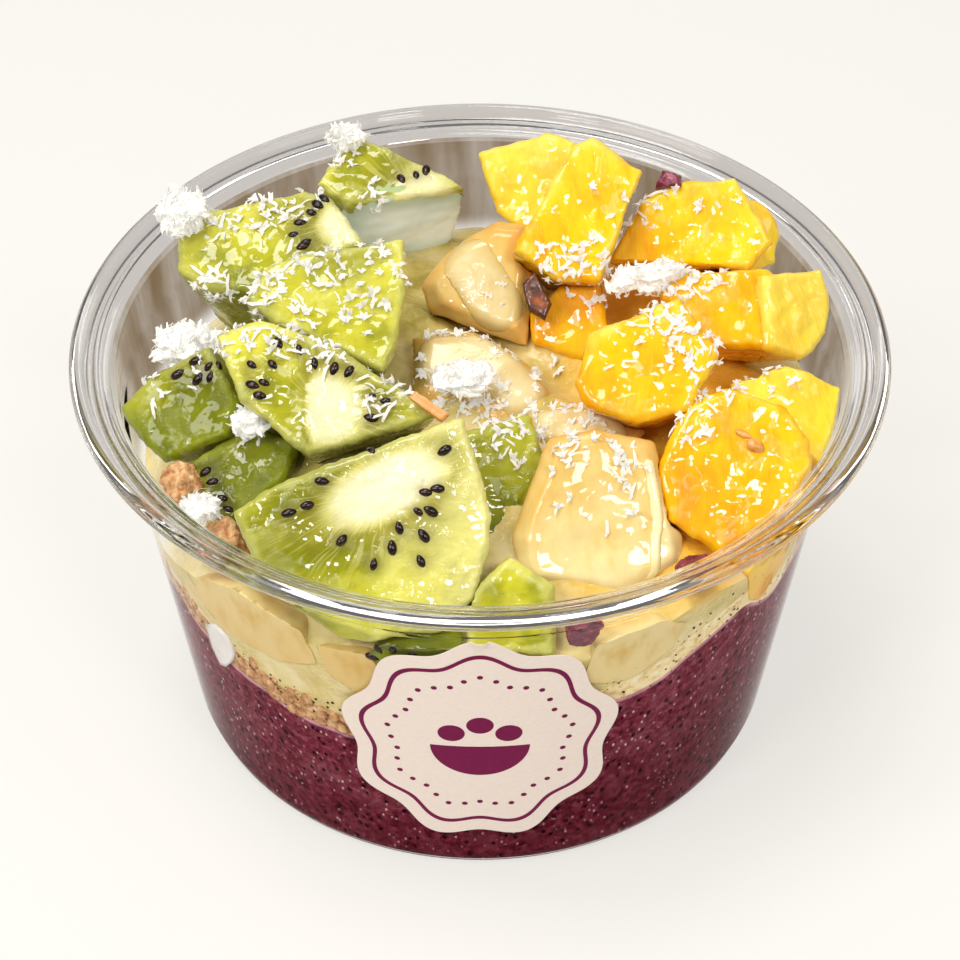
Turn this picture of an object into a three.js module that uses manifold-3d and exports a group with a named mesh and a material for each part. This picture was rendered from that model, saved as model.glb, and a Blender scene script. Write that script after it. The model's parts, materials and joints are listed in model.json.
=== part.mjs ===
// Acai bowl: a clear plastic tub with layers of acai, granola and banana, heaped with cut fruit.
// Millimetres, +Z up. The origin is the middle of the tub's foot; the label faces -Y.
// Azimuth is measured in degrees about +Z, from -Y towards +X.
import * as THREE from 'three';
import { ConvexGeometry } from 'three/addons/geometries/ConvexGeometry.js';
import { mergeVertices } from 'three/addons/utils/BufferGeometryUtils.js';
import Module from 'manifold-3d';

const wasm = await Module();
wasm.setup();

// Tub sizes
const TUB_HEIGHT = 65.5;
const RIM_RADIUS = 59;
const BASE_RADIUS = 45.2;
const CORNER = 3;
const WALL = 0.8;
const WALL_SLOPE = 0.1345;
const STEP_Z = 55;
const STEP_OUT = 0.7;
const SHELF_Z = 63.3;
const SHELF_RADIUS = 56.4;
const FOOT_INNER = 38;
const FOOT_OUTER = 43;
const PUSH_UP = 1.2;
const TUB_SIDES = 60;

// Clear space left between pieces that touch
const GAP = 0.3;

// Food levels at the wall, as pairs of azimuth and height, and at the middle of the tub
const ACAI_LEVEL = [
  [-150, 38], [-66, 35], [-46, 31], [-25, 28], [0, 32],
  [25, 36.5], [46, 43.5], [57, 39.5], [66, 42], [120, 42],
];
const ACAI_MIDDLE = 44;
const GRANOLA_DEPTH = 4;
const BED_LEVEL = [
  [-150, 46], [-66, 43], [-48, 47], [-20, 47], [20, 48], [38, 52], [50, 50], [66, 47], [120, 46],
];
const BED_MIDDLE = 60;
const BED_FLATNESS = 3;
const LAYER_SIDES = 32;

// Label sizes
const LABEL_Z = 31.4;
const LABEL_HALF_WIDTH = 20;
const LABEL_HALF_HEIGHT = 24;
const LABEL_LOBES = 9;
const LABEL_LOBE_DEPTH = 0.05;
const LABEL_THICK = 0.3;
const LABEL_OFF_WALL = 0.2;

// Shredded coconut: one flake is a thin pointed strip
const FLAKE = { length: 3.4, width: 1.7, thick: 0.6, lift: 0.5 };

const COLOURS = {
  tub: '#e8ecee',
  label: '#ebd9cd',
  acai: '#5f2337',
  granola: '#d7a56e',
  bed: '#ecd6a0',
  kiwi: '#aab432',
  pineapple: '#ffcb0a',
  banana: '#f8e0a2',
  dried_fruit: '#7a2038',
  nut: '#b06a2c',
  coconut: '#ffffff',
};
const ROUGHNESS = { tub: 0.08, label: 0.5, acai: 0.45, coconut: 0.8, granola: 0.8 };

// Cut fruit, front and top pieces first: each later piece is trimmed round the earlier ones.
// at is the middle of the main cut face, face its [azimuth, tilt above level] direction,
// outline its corners to the right and up the face, and depth how far the piece goes back.
// flakes lists coconut patches on the face: [right, up, radius, count].
const CHUNKS = [
  { name: 'kiwi_front', kind: 'kiwi', at: [-13, -40, 62], face: [5, 45], depth: 14,
    outline: [
      [-20, 5], [-15, 8], [-2, 12], [12, 16], [15, 2], [14, -3], [12, -9], [7, -13], [-6, -13], [-17, -3],
    ] },
  { name: 'kiwi_core', kind: 'kiwi', at: [-25, -16, 70], face: [-10, 55], depth: 15,
    outline: [[-13, 5], [-7, 8], [5, 5], [20, -3], [3, -11], [-8, -4]],
    flakes: [[-4, 5, 3, 3], [4, 3, 3, 3]] },
  { name: 'kiwi_slab', kind: 'kiwi', at: [-20, -4, 74], face: [10, 60], depth: 19,
    outline: [[-13, 2], [-9, 7], [0, 8], [11, 9], [10, 1], [7, -8], [5, -11], [-9, -2]],
    flakes: [[-8, 3, 3, 5], [-1, 4, 4, 5], [5, 1, 3, 4], [2, -5, 3, 4]] },
  { name: 'pineapple_middle', kind: 'pineapple', at: [22, -17, 72], face: [-5, 50], depth: 16,
    outline: [[-9, -2], [-7, 5], [5, 11], [11, 3], [7, -5], [0, -7], [-7, -5]],
    flakes: [[3, 7, 3, 6], [7, 3, 2, 5]] },
  { name: 'pineapple_tall', kind: 'pineapple', at: [15, 15, 76], face: [10, 50], depth: 17,
    outline: [[3, 11], [10, 5], [7, 0], [1, -11], [-5, -10], [-11, -5], [-5, 3], [0, 10]],
    flakes: [[-3, -7, 3, 4]] },
  { name: 'pineapple_front', kind: 'pineapple', at: [35, -26, 64], face: [5, 50], depth: 14,
    outline: [[-11, -1], [-6, 8], [0, 10], [8, 7], [11, 2], [11, -5], [-3, -13], [-10, -8]],
    flakes: [[-5, 7, 2, 4]] },
  { name: 'banana_front', kind: 'banana', at: [17, -33, 60], face: [5, 45], depth: 13,
    outline: [[-7, 11], [0, 12], [8, 10], [11, -1], [11, -8], [2, -12], [-12, -9], [-13, -3]],
    flakes: [[-4, 8, 2, 4], [3, 7, 2, 4]] },
  { name: 'kiwi_left_back', kind: 'kiwi', at: [-31, 12, 72], face: [-20, 65], depth: 20,
    outline: [[-12, -7], [-15, 1], [2, 10], [6, 10], [14, 4], [7, -2], [0, -8], [-7, -9]],
    flakes: [[4, 6, 3, 4], [-4, 2, 3, 4]] },
  { name: 'kiwi_left', kind: 'kiwi', at: [-43, -13, 62], face: [-30, 45], depth: 13,
    outline: [[-9, -3], [-6, 3], [1, 10], [9, 4], [9, -1], [1, -8], [-4, -6]] },
  { name: 'pineapple_back_left', kind: 'pineapple', at: [8, 30, 71], face: [-10, 45], depth: 18,
    outline: [[-9, 3], [1, 7], [6, 6], [6, -2], [0, -9], [-5, -6]] },
  { name: 'pineapple_back', kind: 'pineapple', at: [32, 20, 70], face: [0, 45], depth: 17,
    outline: [[-13, -6], [-8, 3], [-4, 6], [6, 7], [12, -3], [8, -7]], flakes: [[-5, 4, 2, 4]] },
  { name: 'pineapple_upper', kind: 'pineapple', at: [36, 4, 68], face: [0, 55], depth: 15,
    outline: [[-13, 4], [-6, 3], [6, 5], [9, 2], [6, -7], [-2, -7]], flakes: [[-4, 1, 2, 3]] },
  { name: 'pineapple_right', kind: 'pineapple', at: [47, 3, 66], face: [35, 40], depth: 14,
    outline: [[-4, 8], [6, 5], [5, -1], [3, -4], [-3, -6], [-8, -2]] },
  { name: 'pineapple_right_low', kind: 'pineapple', at: [44, -16, 64], face: [15, 60], depth: 13,
    outline: [[-8, 6], [1, 7], [9, 2], [5, -4], [2, -9], [-2, -4], [-7, 2]], flakes: [[-4, 4, 2, 3]] },
  { name: 'banana_back', kind: 'banana', at: [0, 12, 66], face: [-10, 50], depth: 11,
    outline: [[-9, -2], [-6, 4], [1, 9], [6, 9], [8, 2], [8, -9], [0, -7], [-7, -6]] },
  { name: 'kiwi_back', kind: 'kiwi', at: [-16, 33, 70], face: [0, 75], depth: 18,
    outline: [[-9, -2], [-6, 4], [-3, 7], [4, 4], [14, -3], [4, -5], [-4, -6]] },
  { name: 'kiwi_small', kind: 'kiwi', at: [4, -46, 55], face: [0, 40], depth: 8,
    outline: [[-6, 2], [0, 7], [6, 3], [6, -6], [-6, -6]] },
  { name: 'pineapple_back_right', kind: 'pineapple', at: [42, 25, 65], face: [30, 50], depth: 14,
    outline: [[-8, 5], [0, 6], [3, 3], [4, -1], [1, -6], [-8, -5]] },
  { name: 'pineapple_low', kind: 'pineapple', at: [13, 7, 62], face: [-10, 45], depth: 8,
    outline: [[-6, 1], [-2, 5], [4, 6], [6, -1], [3, -6], [-5, -4]] },
  { name: 'kiwi_left_low', kind: 'kiwi', at: [-35, -21, 57], face: [-20, 60], depth: 9,
    outline: [[-9, -3], [-5, 1], [0, 8], [8, 7], [8, 1], [2, -7], [-4, -6]] },
  { name: 'banana_middle', kind: 'banana', at: [0, -3, 60], face: [0, 65], depth: 6,
    outline: [[-10, 7], [-1, 8], [7, 3], [12, -4], [3, -9], [-10, -4]] },
  { name: 'banana_right', kind: 'banana', at: [14, -14, 60], face: [0, 65], depth: 6,
    outline: [[-8, 2], [3, 5], [10, 0], [6, -5], [-5, -7]] },
  { name: 'kiwi_centre', kind: 'kiwi', at: [4, -25, 60], face: [15, 50], depth: 9,
    outline: [[-6, 7], [5, 8], [6, 1], [0, -10], [-7, -7]] },
  { name: 'pineapple_wall', kind: 'pineapple', at: [42, -33, 49], face: [52, 0], depth: 9,
    outline: [[-6, 3], [0, 7], [7, 6], [6, -4], [1, -8], [-3, -5]] },
  { name: 'kiwi_wall', kind: 'kiwi', at: [-9, -52, 48], face: [-10, 0], depth: 7,
    outline: [[-7, 1], [-5, 4], [7, 5], [8, -4], [-3, -5]] },
  { name: 'banana_left', kind: 'banana', at: [-32, -43, 46], face: [-37, 0], depth: 10,
    outline: [[-17, -5], [-13, 2], [-4, 6], [8, 4], [10, -3], [2, -7], [-9, -7]] },
  { name: 'banana_low', kind: 'banana', at: [-16, -51, 44], face: [-18, 0], depth: 9,
    outline: [[-8, 4], [0, 5], [6, 1], [8, -6], [0, -7], [-7, -2]] },
  { name: 'banana_foot', kind: 'banana', at: [22, -49, 46], face: [25, 0], depth: 9,
    outline: [[-8, -4], [-6, 5], [4, 6], [9, 3], [7, -2], [0, -6]] },
  { name: 'dried_fruit_front', kind: 'dried_fruit', at: [14.5, -52, 54.5], face: [16, 0], depth: 5,
    outline: [[-2, -3], [-2.5, 2], [0, 3.5], [3, 1], [1.5, -4]] },
  { name: 'dried_fruit_right', kind: 'dried_fruit', at: [30, -40.5, 56], face: [37, 30], depth: 5,
    outline: [[-2.5, -1.5], [-1.5, 1.5], [2, 2], [3, -1]] },
  { name: 'dried_fruit_back', kind: 'dried_fruit', at: [28, 24, 75], face: [0, 60], depth: 4,
    outline: [[-2, -1], [-1, 2], [2, 1], [2, -1]] },
  { name: 'nut_sliver', kind: 'nut', at: [-7, -22.9, 70.9], face: [0, 50], depth: 3,
    outline: [[-2.9, 1.2], [-1.9, 2.3], [2.9, -1.2], [1.9, -2.3]] },
  { name: 'nut_dark', kind: 'nut', at: [8, 6, 67], face: [0, 45], depth: 5,
    outline: [[-2, 2], [0, 4], [2.5, -1], [1.5, -3.5], [-1, -2]] },
  { name: 'granola_rim', kind: 'granola', at: [-43, -23, 57], face: [-60, 40], depth: 5,
    outline: [[-4, -1], [-2, 3], [2, 2], [3, -2], [-1, -3]] },
  { name: 'granola_low', kind: 'granola', at: [-36, -33, 55.5], face: [-45, 40], depth: 7,
    outline: [[-4, -1], [-1, 3], [3, 1], [3, -2], [-1, -3]] },
];
const EDGE_ROUND = { kiwi: 0.8, pineapple: 0.8, banana: 2.4, dried_fruit: 0.8, nut: 0.5, granola: 0.9 };
const BACK_TAPER = 0.8;

// Heaps of shredded coconut: middle, half sizes, turn about +Z and number of flakes that show.
const TUFTS = [
  { name: 'coconut_back_left', at: [-43, 16, 74.5], half: [4.6, 4.4, 4.4], turn: 0, flakes: 20 },
  { name: 'coconut_left', at: [-42, -2.5, 65], half: [7, 4, 3.6], turn: 35, flakes: 18 },
  { name: 'coconut_mid', at: [-32.3, -17.8, 63.6], half: [3, 3, 2.8], turn: 0, flakes: 12 },
  { name: 'coconut_low', at: [-38.5, -29.5, 58], half: [3.2, 2.8, 2.6], turn: 0, flakes: 11 },
  { name: 'coconut_back', at: [-20.5, 37.5, 73], half: [3.6, 2.6, 2.4], turn: 10, flakes: 9 },
  { name: 'coconut_centre', at: [-2.5, -7, 62.5], half: [5.5, 4, 2.6], turn: 0, flakes: 14 },
  { name: 'coconut_right', at: [24, 6, 70.5], half: [7.5, 2.6, 2.4], turn: 17, flakes: 12 },
];

const radians = THREE.MathUtils.degToRad;

// Repeatable random numbers from 0 to 1
function randomFrom(seed) {
  let state = seed;
  return () => {
    state = (state + 0x6d2b79f5) | 0;
    let mixed = Math.imul(state ^ (state >>> 15), 1 | state);
    mixed = (mixed + Math.imul(mixed ^ (mixed >>> 7), 61 | mixed)) ^ mixed;
    return ((mixed ^ (mixed >>> 14)) >>> 0) / 4294967296;
  };
}

function polar(radius, azimuth, z) {
  const angle = radians(azimuth);
  return new THREE.Vector3(radius * Math.sin(angle), -radius * Math.cos(angle), z);
}

// Solids and geometry
function toSolid(geometry) {
  const bare = new THREE.BufferGeometry();
  bare.setAttribute('position', geometry.getAttribute('position').clone());
  if (geometry.index) bare.setIndex(geometry.index.clone());
  const merged = mergeVertices(bare, 1e-4);
  return new wasm.Manifold(new wasm.Mesh({
    numProp: 3,
    vertProperties: new Float32Array(merged.getAttribute('position').array),
    triVerts: new Uint32Array(merged.index.array),
  }));
}

function toGeometry(solid) {
  const { vertProperties, triVerts, numProp } = solid.getMesh();
  const positions = new Float32Array((vertProperties.length / numProp) * 3);
  for (let i = 0; i < positions.length / 3; i++) {
    for (let axis = 0; axis < 3; axis++) positions[3 * i + axis] = vertProperties[numProp * i + axis];
  }
  const geometry = new THREE.BufferGeometry();
  geometry.setAttribute('position', new THREE.BufferAttribute(positions, 3));
  geometry.setIndex(new THREE.BufferAttribute(new Uint32Array(triVerts), 1));
  geometry.computeVertexNormals();
  return geometry;
}

// The largest body of a solid that a cut may have split
function mainBody(solid) {
  const bodies = solid.decompose();
  return bodies.reduce((best, body) => (body.volume() > best.volume() ? body : best));
}

// A closed skin over rings of points, from bottom to top; a ring of one point is a pole.
// The lowest levels may split their squares along the other diagonal, to lie flat on a layer below.
function skinOverRings(rings, otherDiagonal = 0) {
  const points = rings.flat();
  const starts = [];
  let count = 0;
  for (const ring of rings) {
    starts.push(count);
    count += ring.length;
  }
  const sides = Math.max(...rings.map((ring) => ring.length));
  const index = [];
  for (let level = 0; level + 1 < rings.length; level++) {
    for (let side = 0; side < sides; side++) {
      const next = (side + 1) % sides;
      const low = (i) => starts[level] + (rings[level].length > 1 ? i : 0);
      const high = (i) => starts[level + 1] + (rings[level + 1].length > 1 ? i : 0);
      const turned = level < otherDiagonal;
      const lowCorner = turned ? low(side) : low(next);
      const highCorner = turned ? high(next) : high(side);
      if (low(side) !== low(next)) index.push(low(side), low(next), highCorner);
      if (high(side) !== high(next)) index.push(lowCorner, high(next), high(side));
    }
  }
  const geometry = new THREE.BufferGeometry().setFromPoints(points);
  geometry.setIndex(index);
  return geometry;
}

// Tub
function innerWall(z) {
  const below = BASE_RADIUS - WALL + WALL_SLOPE * (Math.min(z, STEP_Z) - CORNER);
  return z > STEP_Z ? below + STEP_OUT : below;
}

function tubGeometry() {
  const wallTop = innerWall(STEP_Z) + WALL;
  const neck = wallTop + STEP_OUT + 0.5;
  const outside = [
    [0, PUSH_UP], [FOOT_INNER - 1.6, PUSH_UP], [FOOT_INNER, 0], [FOOT_OUTER, 0], [BASE_RADIUS - 0.7, 0.8],
    [BASE_RADIUS, CORNER], [wallTop, STEP_Z], [wallTop + STEP_OUT, STEP_Z + STEP_OUT],
    [neck, SHELF_Z - 1.4], [neck + 1, SHELF_Z - WALL], [SHELF_RADIUS + 1.4, SHELF_Z - 0.6],
    [RIM_RADIUS, SHELF_Z + 0.4], [RIM_RADIUS, SHELF_Z + 1.1], [RIM_RADIUS - 0.6, TUB_HEIGHT - 0.3],
  ];
  const inside = [
    [RIM_RADIUS - 1.4, TUB_HEIGHT], [SHELF_RADIUS + 0.5, TUB_HEIGHT - 0.5], [SHELF_RADIUS, SHELF_Z],
    [neck + 0.5, SHELF_Z], [neck - WALL, SHELF_Z - 1.2], [innerWall(STEP_Z) + STEP_OUT, STEP_Z + STEP_OUT],
    [innerWall(STEP_Z), STEP_Z], [innerWall(CORNER), CORNER + 0.2], [FOOT_OUTER - 0.2, WALL + 0.2],
    [FOOT_INNER + 0.4, WALL + 0.1], [FOOT_INNER - 1.2, PUSH_UP + WALL], [0, PUSH_UP + WALL],
  ];
  const profile = [...outside, ...inside].map(([r, z]) => new THREE.Vector2(r, z));
  return new THREE.LatheGeometry(profile, TUB_SIDES).rotateX(Math.PI / 2);
}

// All the room in and above the tub, a gap clear of its wall
function roomInTub() {
  const high = 100;
  const profile = [
    [0, PUSH_UP + WALL + GAP], [innerWall(CORNER) - GAP, CORNER + 1], [innerWall(STEP_Z) - GAP, STEP_Z],
    [innerWall(STEP_Z) + STEP_OUT - GAP, STEP_Z + STEP_OUT], [innerWall(STEP_Z) + STEP_OUT, SHELF_Z],
    [innerWall(STEP_Z) + STEP_OUT, high], [0, high],
  ].map(([r, z]) => new THREE.Vector2(r, z));
  return toSolid(new THREE.LatheGeometry(profile, TUB_SIDES).rotateX(Math.PI / 2));
}

// Label: a scalloped oval bent round the wall
function labelGeometry() {
  const around = LABEL_LOBES * 5;
  const spread = [0.35, 0.7, 1];
  const tilt = Math.atan(WALL_SLOPE);
  const onWall = (across, up, off) => {
    const z = LABEL_Z + up * Math.cos(tilt);
    const radius = innerWall(z) + WALL + LABEL_OFF_WALL + off;
    return polar(radius, THREE.MathUtils.radToDeg(across / radius), z);
  };
  const ring = (share, off) => Array.from({ length: around }, (_, i) => {
    const angle = (i / around) * 2 * Math.PI;
    const lobe = 1 + LABEL_LOBE_DEPTH * (Math.cos(LABEL_LOBES * (angle - Math.PI / 2)) - 1);
    return onWall(
      share * lobe * LABEL_HALF_WIDTH * Math.cos(angle),
      share * lobe * LABEL_HALF_HEIGHT * Math.sin(angle),
      off,
    );
  });
  const back = spread.map((share) => ring(share, 0));
  const front = spread.map((share) => ring(share, LABEL_THICK)).reverse();
  return skinOverRings([[onWall(0, 0, 0)], ...back, ...front, [onWall(0, 0, LABEL_THICK)]]);
}

// A height that runs smoothly round the tub through pairs of azimuth and height
function heightRound(pairs, azimuth) {
  const last = pairs[pairs.length - 1];
  const ends = [[last[0] - 360, last[1]], ...pairs, [pairs[0][0] + 360, pairs[0][1]]];
  const at = ends.findIndex(([angle]) => angle > azimuth);
  const [fromAngle, fromHeight] = ends[at - 1];
  const [toAngle, toHeight] = ends[at];
  const share = THREE.MathUtils.smoothstep(azimuth, fromAngle, toAngle);
  return fromHeight + (toHeight - fromHeight) * share;
}

// Heights of the layers at a share of the radius and an azimuth
const acaiTop = (share, azimuth) =>
  THREE.MathUtils.lerp(ACAI_MIDDLE, heightRound(ACAI_LEVEL, azimuth), share ** 2);
const granolaTop = (share, azimuth) => {
  const lumps = 0.7 * Math.sin(radians(9 * azimuth)) * Math.cos(7 * share + radians(4 * azimuth));
  return acaiTop(share, azimuth) + GAP + GRANOLA_DEPTH + lumps;
};
const bedTop = (share, azimuth) => {
  const level = Math.max(heightRound(BED_LEVEL, azimuth), granolaTop(1, azimuth) + 2);
  return THREE.MathUtils.lerp(BED_MIDDLE, level, share ** BED_FLATNESS);
};

function layerRing(share, heightAt) {
  return Array.from({ length: LAYER_SIDES }, (_, i) => {
    const azimuth = -180 + (360 * i) / LAYER_SIDES;
    const z = heightAt(share, azimuth);
    return polar(share * (innerWall(Math.min(z, STEP_Z)) - GAP), azimuth, z);
  });
}

function layerTop(heightAt) {
  const shares = [1, 0.84, 0.62, 0.36];
  return [...shares.map((share) => layerRing(share, heightAt)), [polar(0, 0, heightAt(0, 0))]];
}

function layerBottom(heightAt) {
  return layerTop((share, azimuth) => heightAt(share, azimuth) + GAP).reverse();
}

function acaiGeometry() {
  const floor = [
    [FOOT_INNER - 1.6, PUSH_UP + WALL + GAP], [FOOT_INNER + 0.8, WALL + 0.3 + GAP],
    [FOOT_OUTER - 0.8, WALL + 0.4 + GAP], [innerWall(CORNER) - GAP, CORNER + 0.6],
  ];
  const rings = floor.map(([r, z]) => Array.from({ length: LAYER_SIDES }, (_, i) =>
    polar(r, -180 + (360 * i) / LAYER_SIDES, z)));
  return skinOverRings([[polar(0, 0, floor[0][1])], ...rings, ...layerTop(acaiTop)]);
}

function granolaGeometry() {
  const bottom = layerBottom(acaiTop);
  return skinOverRings([...bottom, ...layerTop(granolaTop)], bottom.length - 1);
}

function bedGeometry(lift) {
  const bottom = layerBottom(granolaTop);
  const top = layerTop((share, azimuth) => bedTop(share, azimuth) + lift);
  return skinOverRings([...bottom, ...top], bottom.length - 1);
}

// Cut fruit: a convex block with eased edges, or sharp and grown all round by a clearance
function faceFrame([azimuth, tilt]) {
  const out = polar(Math.cos(radians(tilt)), azimuth, Math.sin(radians(tilt)));
  const right = new THREE.Vector3(0, 0, 1).cross(out).normalize();
  const up = out.clone().cross(right);
  return new THREE.Matrix4().makeBasis(right, up, out);
}

function chunkMatrix(chunk) {
  return faceFrame(chunk.face).setPosition(...chunk.at);
}

function chunkSolid(chunk, grow) {
  const ease = EDGE_ROUND[chunk.kind];
  const middle = new THREE.Vector2();
  for (const [x, y] of chunk.outline) middle.add(new THREE.Vector2(x, y));
  middle.divideScalar(chunk.outline.length);
  const sharp = [
    { z: grow, inset: -grow, scale: 1 },
    { z: -ease, inset: -grow, scale: 1 },
    { z: -chunk.depth - grow, inset: -grow, scale: BACK_TAPER },
  ];
  const eased = [
    { z: 0, inset: ease, scale: 1 },
    { z: -ease, inset: 0, scale: 1 },
    { z: -chunk.depth + ease, inset: 0, scale: BACK_TAPER },
    { z: -chunk.depth, inset: ease, scale: BACK_TAPER },
  ];
  const levels = grow > 0 ? sharp : eased;
  const points = levels.flatMap(({ z, inset, scale }) => chunk.outline.map(([x, y]) => {
    const arm = new THREE.Vector2(x, y).sub(middle).multiplyScalar(scale);
    arm.setLength(Math.max(arm.length() - inset, 0.3));
    return new THREE.Vector3(middle.x + arm.x, middle.y + arm.y, z);
  }));
  return toSolid(new ConvexGeometry(points).applyMatrix4(chunkMatrix(chunk)));
}

// One coconut flake, a thin wedge with its narrow end lifted
function flakeSolid(at, random) {
  const size = 0.7 + 0.6 * random();
  const [length, width, thick] = [FLAKE.length * size, FLAKE.width * size, FLAKE.thick];
  const corners = [
    [-length / 2, -width / 2, 0], [-length / 2, width / 2, 0], [length / 2, 0, FLAKE.lift],
    [-length / 2, -width / 2, thick], [-length / 2, width / 2, thick], [length / 2, 0, FLAKE.lift + thick],
  ].map((corner) => new THREE.Vector3(...corner));
  const turn = new THREE.Euler(1.2 * (random() - 0.5), 1.2 * (random() - 0.5), 2 * Math.PI * random());
  const place = new THREE.Matrix4().makeRotationFromEuler(turn).setPosition(at);
  return toSolid(new ConvexGeometry(corners).applyMatrix4(place));
}

// Whether a flake is rooted in its carrier, stays in the tub's room and keeps clear of the rest
function flakeFits(flake, carrier, room, others) {
  const rooted = !flake.intersect(carrier).isEmpty();
  const inRoom = flake.subtract(room).isEmpty();
  return rooted && inRoom && others.every((other) => flake.intersect(other).isEmpty());
}

// Flakes lying on the patches of a chunk's face, left out where they would reach another piece
function chunkWithFlakes(chunk, body, room, others, random) {
  const place = chunkMatrix(chunk);
  let whole = body;
  for (const [right, up, radius, count] of chunk.flakes ?? []) {
    for (let i = 0; i < count; i++) {
      const angle = 2 * Math.PI * random();
      const reach = radius * Math.sqrt(random());
      const at = new THREE.Vector3(right + reach * Math.cos(angle), up + reach * Math.sin(angle), 0.1);
      const flake = flakeSolid(at.applyMatrix4(place), random);
      if (flakeFits(flake, body, room, others)) whole = whole.add(flake);
    }
  }
  return whole;
}

// A tuft: an uneven core with flakes standing out of it
function tuftSolid(tuft, blocked, room, random) {
  const core = new THREE.IcosahedronGeometry(1, 1).scale(...tuft.half);
  core.rotateZ(radians(tuft.turn)).translate(...tuft.at);
  let trimmed = toSolid(core).intersect(room);
  for (const other of blocked) trimmed = trimmed.subtract(other);
  let whole = mainBody(trimmed);
  const turn = new THREE.Matrix4().makeRotationZ(radians(tuft.turn));
  for (let i = 0; i < tuft.flakes; i++) {
    const lift = 2 * random() - 0.7;
    const around = 2 * Math.PI * random();
    const flat = Math.sqrt(Math.max(0, 1 - lift * lift));
    const out = new THREE.Vector3(flat * Math.cos(around), flat * Math.sin(around), lift);
    const at = out.multiply(new THREE.Vector3(...tuft.half)).applyMatrix4(turn);
    const flake = flakeSolid(at.add(new THREE.Vector3(...tuft.at)), random);
    if (flakeFits(flake, whole, room, blocked)) whole = whole.add(flake);
  }
  return whole;
}

// The whole bowl
const bowl = new THREE.Group();

function addNode(name, kind, geometry) {
  const material = new THREE.MeshStandardMaterial({
    color: COLOURS[kind],
    roughness: ROUGHNESS[kind] ?? 0.3,
    metalness: 0,
  });
  const clear = kind === 'tub';
  material.transparent = clear;
  material.opacity = clear ? 0.3 : 1;
  const mesh = new THREE.Mesh(geometry, material);
  mesh.name = name;
  bowl.add(mesh);
}

const random = randomFrom(7);
const room = roomInTub();

// Each chunk keeps clear of those before it; the grown copies do the trimming
const bodies = [];
const grown = [];
for (const chunk of CHUNKS) {
  let body = chunkSolid(chunk, 0).intersect(room);
  for (const earlier of grown) body = body.subtract(earlier);
  bodies.push(mainBody(body));
  grown.push(chunkSolid(chunk, GAP));
}

// The tufts lie on the chunks and on the bed
const tufts = [];
const raisedBed = toSolid(bedGeometry(GAP));
for (const tuft of TUFTS) tufts.push(tuftSolid(tuft, [...grown, raisedBed, ...tufts], room, random));

// The layers are pressed in under the chunks that lie on them
function pressedLayer(geometry) {
  let layer = toSolid(geometry);
  for (const chunk of grown) layer = layer.subtract(chunk);
  return mainBody(layer);
}

const layers = [
  ['acai', pressedLayer(acaiGeometry())],
  ['granola', pressedLayer(granolaGeometry())],
  ['bed', pressedLayer(bedGeometry(0))],
];

addNode('tub', 'tub', tubGeometry());
addNode('label', 'label', labelGeometry());
addNode('acai', 'acai', toGeometry(layers[0][1]));
addNode('granola', 'granola', toGeometry(layers[1][1]));
addNode('banana_bed', 'bed', toGeometry(layers[2][1]));
CHUNKS.forEach((chunk, i) => {
  const others = [...grown.filter((_, j) => j !== i), ...tufts, ...layers.map(([, layer]) => layer)];
  addNode(chunk.name, chunk.kind, toGeometry(chunkWithFlakes(chunk, bodies[i], room, others, random)));
});
TUFTS.forEach((tuft, i) => addNode(tuft.name, 'coconut', toGeometry(tufts[i])));

export default bowl;
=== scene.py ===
# %% [markdown]
# # Acai bowl
# The object is a clear plastic tub of acai with layers of granola and banana, heaped with cut kiwi,
# pineapple, glazed banana and shredded coconut. Every piece of food already has a plain solid in the
# frame. This lesson dresses each of them: the sizes are repeated here in millimetres and turned into
# metres as meshes are made.

# %% Load the frame
import json
import math
import random
from collections import namedtuple

import bmesh
import bpy
import numpy as np
from mathutils import Matrix, Vector, noise
from mathutils.bvhtree import BVHTree

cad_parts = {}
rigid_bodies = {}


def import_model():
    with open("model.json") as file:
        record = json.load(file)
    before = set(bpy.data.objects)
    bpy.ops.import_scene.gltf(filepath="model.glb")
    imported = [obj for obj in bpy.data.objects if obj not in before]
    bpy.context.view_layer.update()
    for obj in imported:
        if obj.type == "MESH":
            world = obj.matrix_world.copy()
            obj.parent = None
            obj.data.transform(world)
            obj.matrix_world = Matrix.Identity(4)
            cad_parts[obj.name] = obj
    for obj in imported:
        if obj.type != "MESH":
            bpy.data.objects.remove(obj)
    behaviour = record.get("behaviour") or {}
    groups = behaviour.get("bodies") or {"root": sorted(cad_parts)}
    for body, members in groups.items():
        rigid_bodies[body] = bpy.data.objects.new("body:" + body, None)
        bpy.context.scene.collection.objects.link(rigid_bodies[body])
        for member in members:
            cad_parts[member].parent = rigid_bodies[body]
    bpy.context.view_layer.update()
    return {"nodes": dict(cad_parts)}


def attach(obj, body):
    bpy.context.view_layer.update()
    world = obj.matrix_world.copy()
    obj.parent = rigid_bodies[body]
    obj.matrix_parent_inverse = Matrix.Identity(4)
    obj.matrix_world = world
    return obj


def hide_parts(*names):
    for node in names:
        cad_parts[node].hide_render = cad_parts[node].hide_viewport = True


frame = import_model()
MM = 0.001
scene = bpy.context.scene
print("solids in the frame:", len(frame["nodes"]))

# %% [markdown]
# ## Camera, floor and light
# The bowl is looked at from above its label, at about 42 degrees, with a long lens. The light is a soft
# studio: a large box overhead on the left casts the shadow to the right, one box on each side of the
# camera lights the cut faces, and a long one behind draws the bright lines on the rim. Two small lamps
# make the sparkles on wet fruit. The sky is bright above and dim at the horizon, so that clear plastic
# has something darker to mirror. The floor is a light table: it glows a little, which keeps the shadow as
# faint as it is in a product photograph.

# %% Camera
TARGET = Vector((0, 0, 36.5)) * MM
DISTANCE = 400 * MM
ELEVATION = math.radians(42.2)
FRAME_PIXELS = 960
FOCAL_PIXELS = 2642
SENSOR = 36

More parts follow.
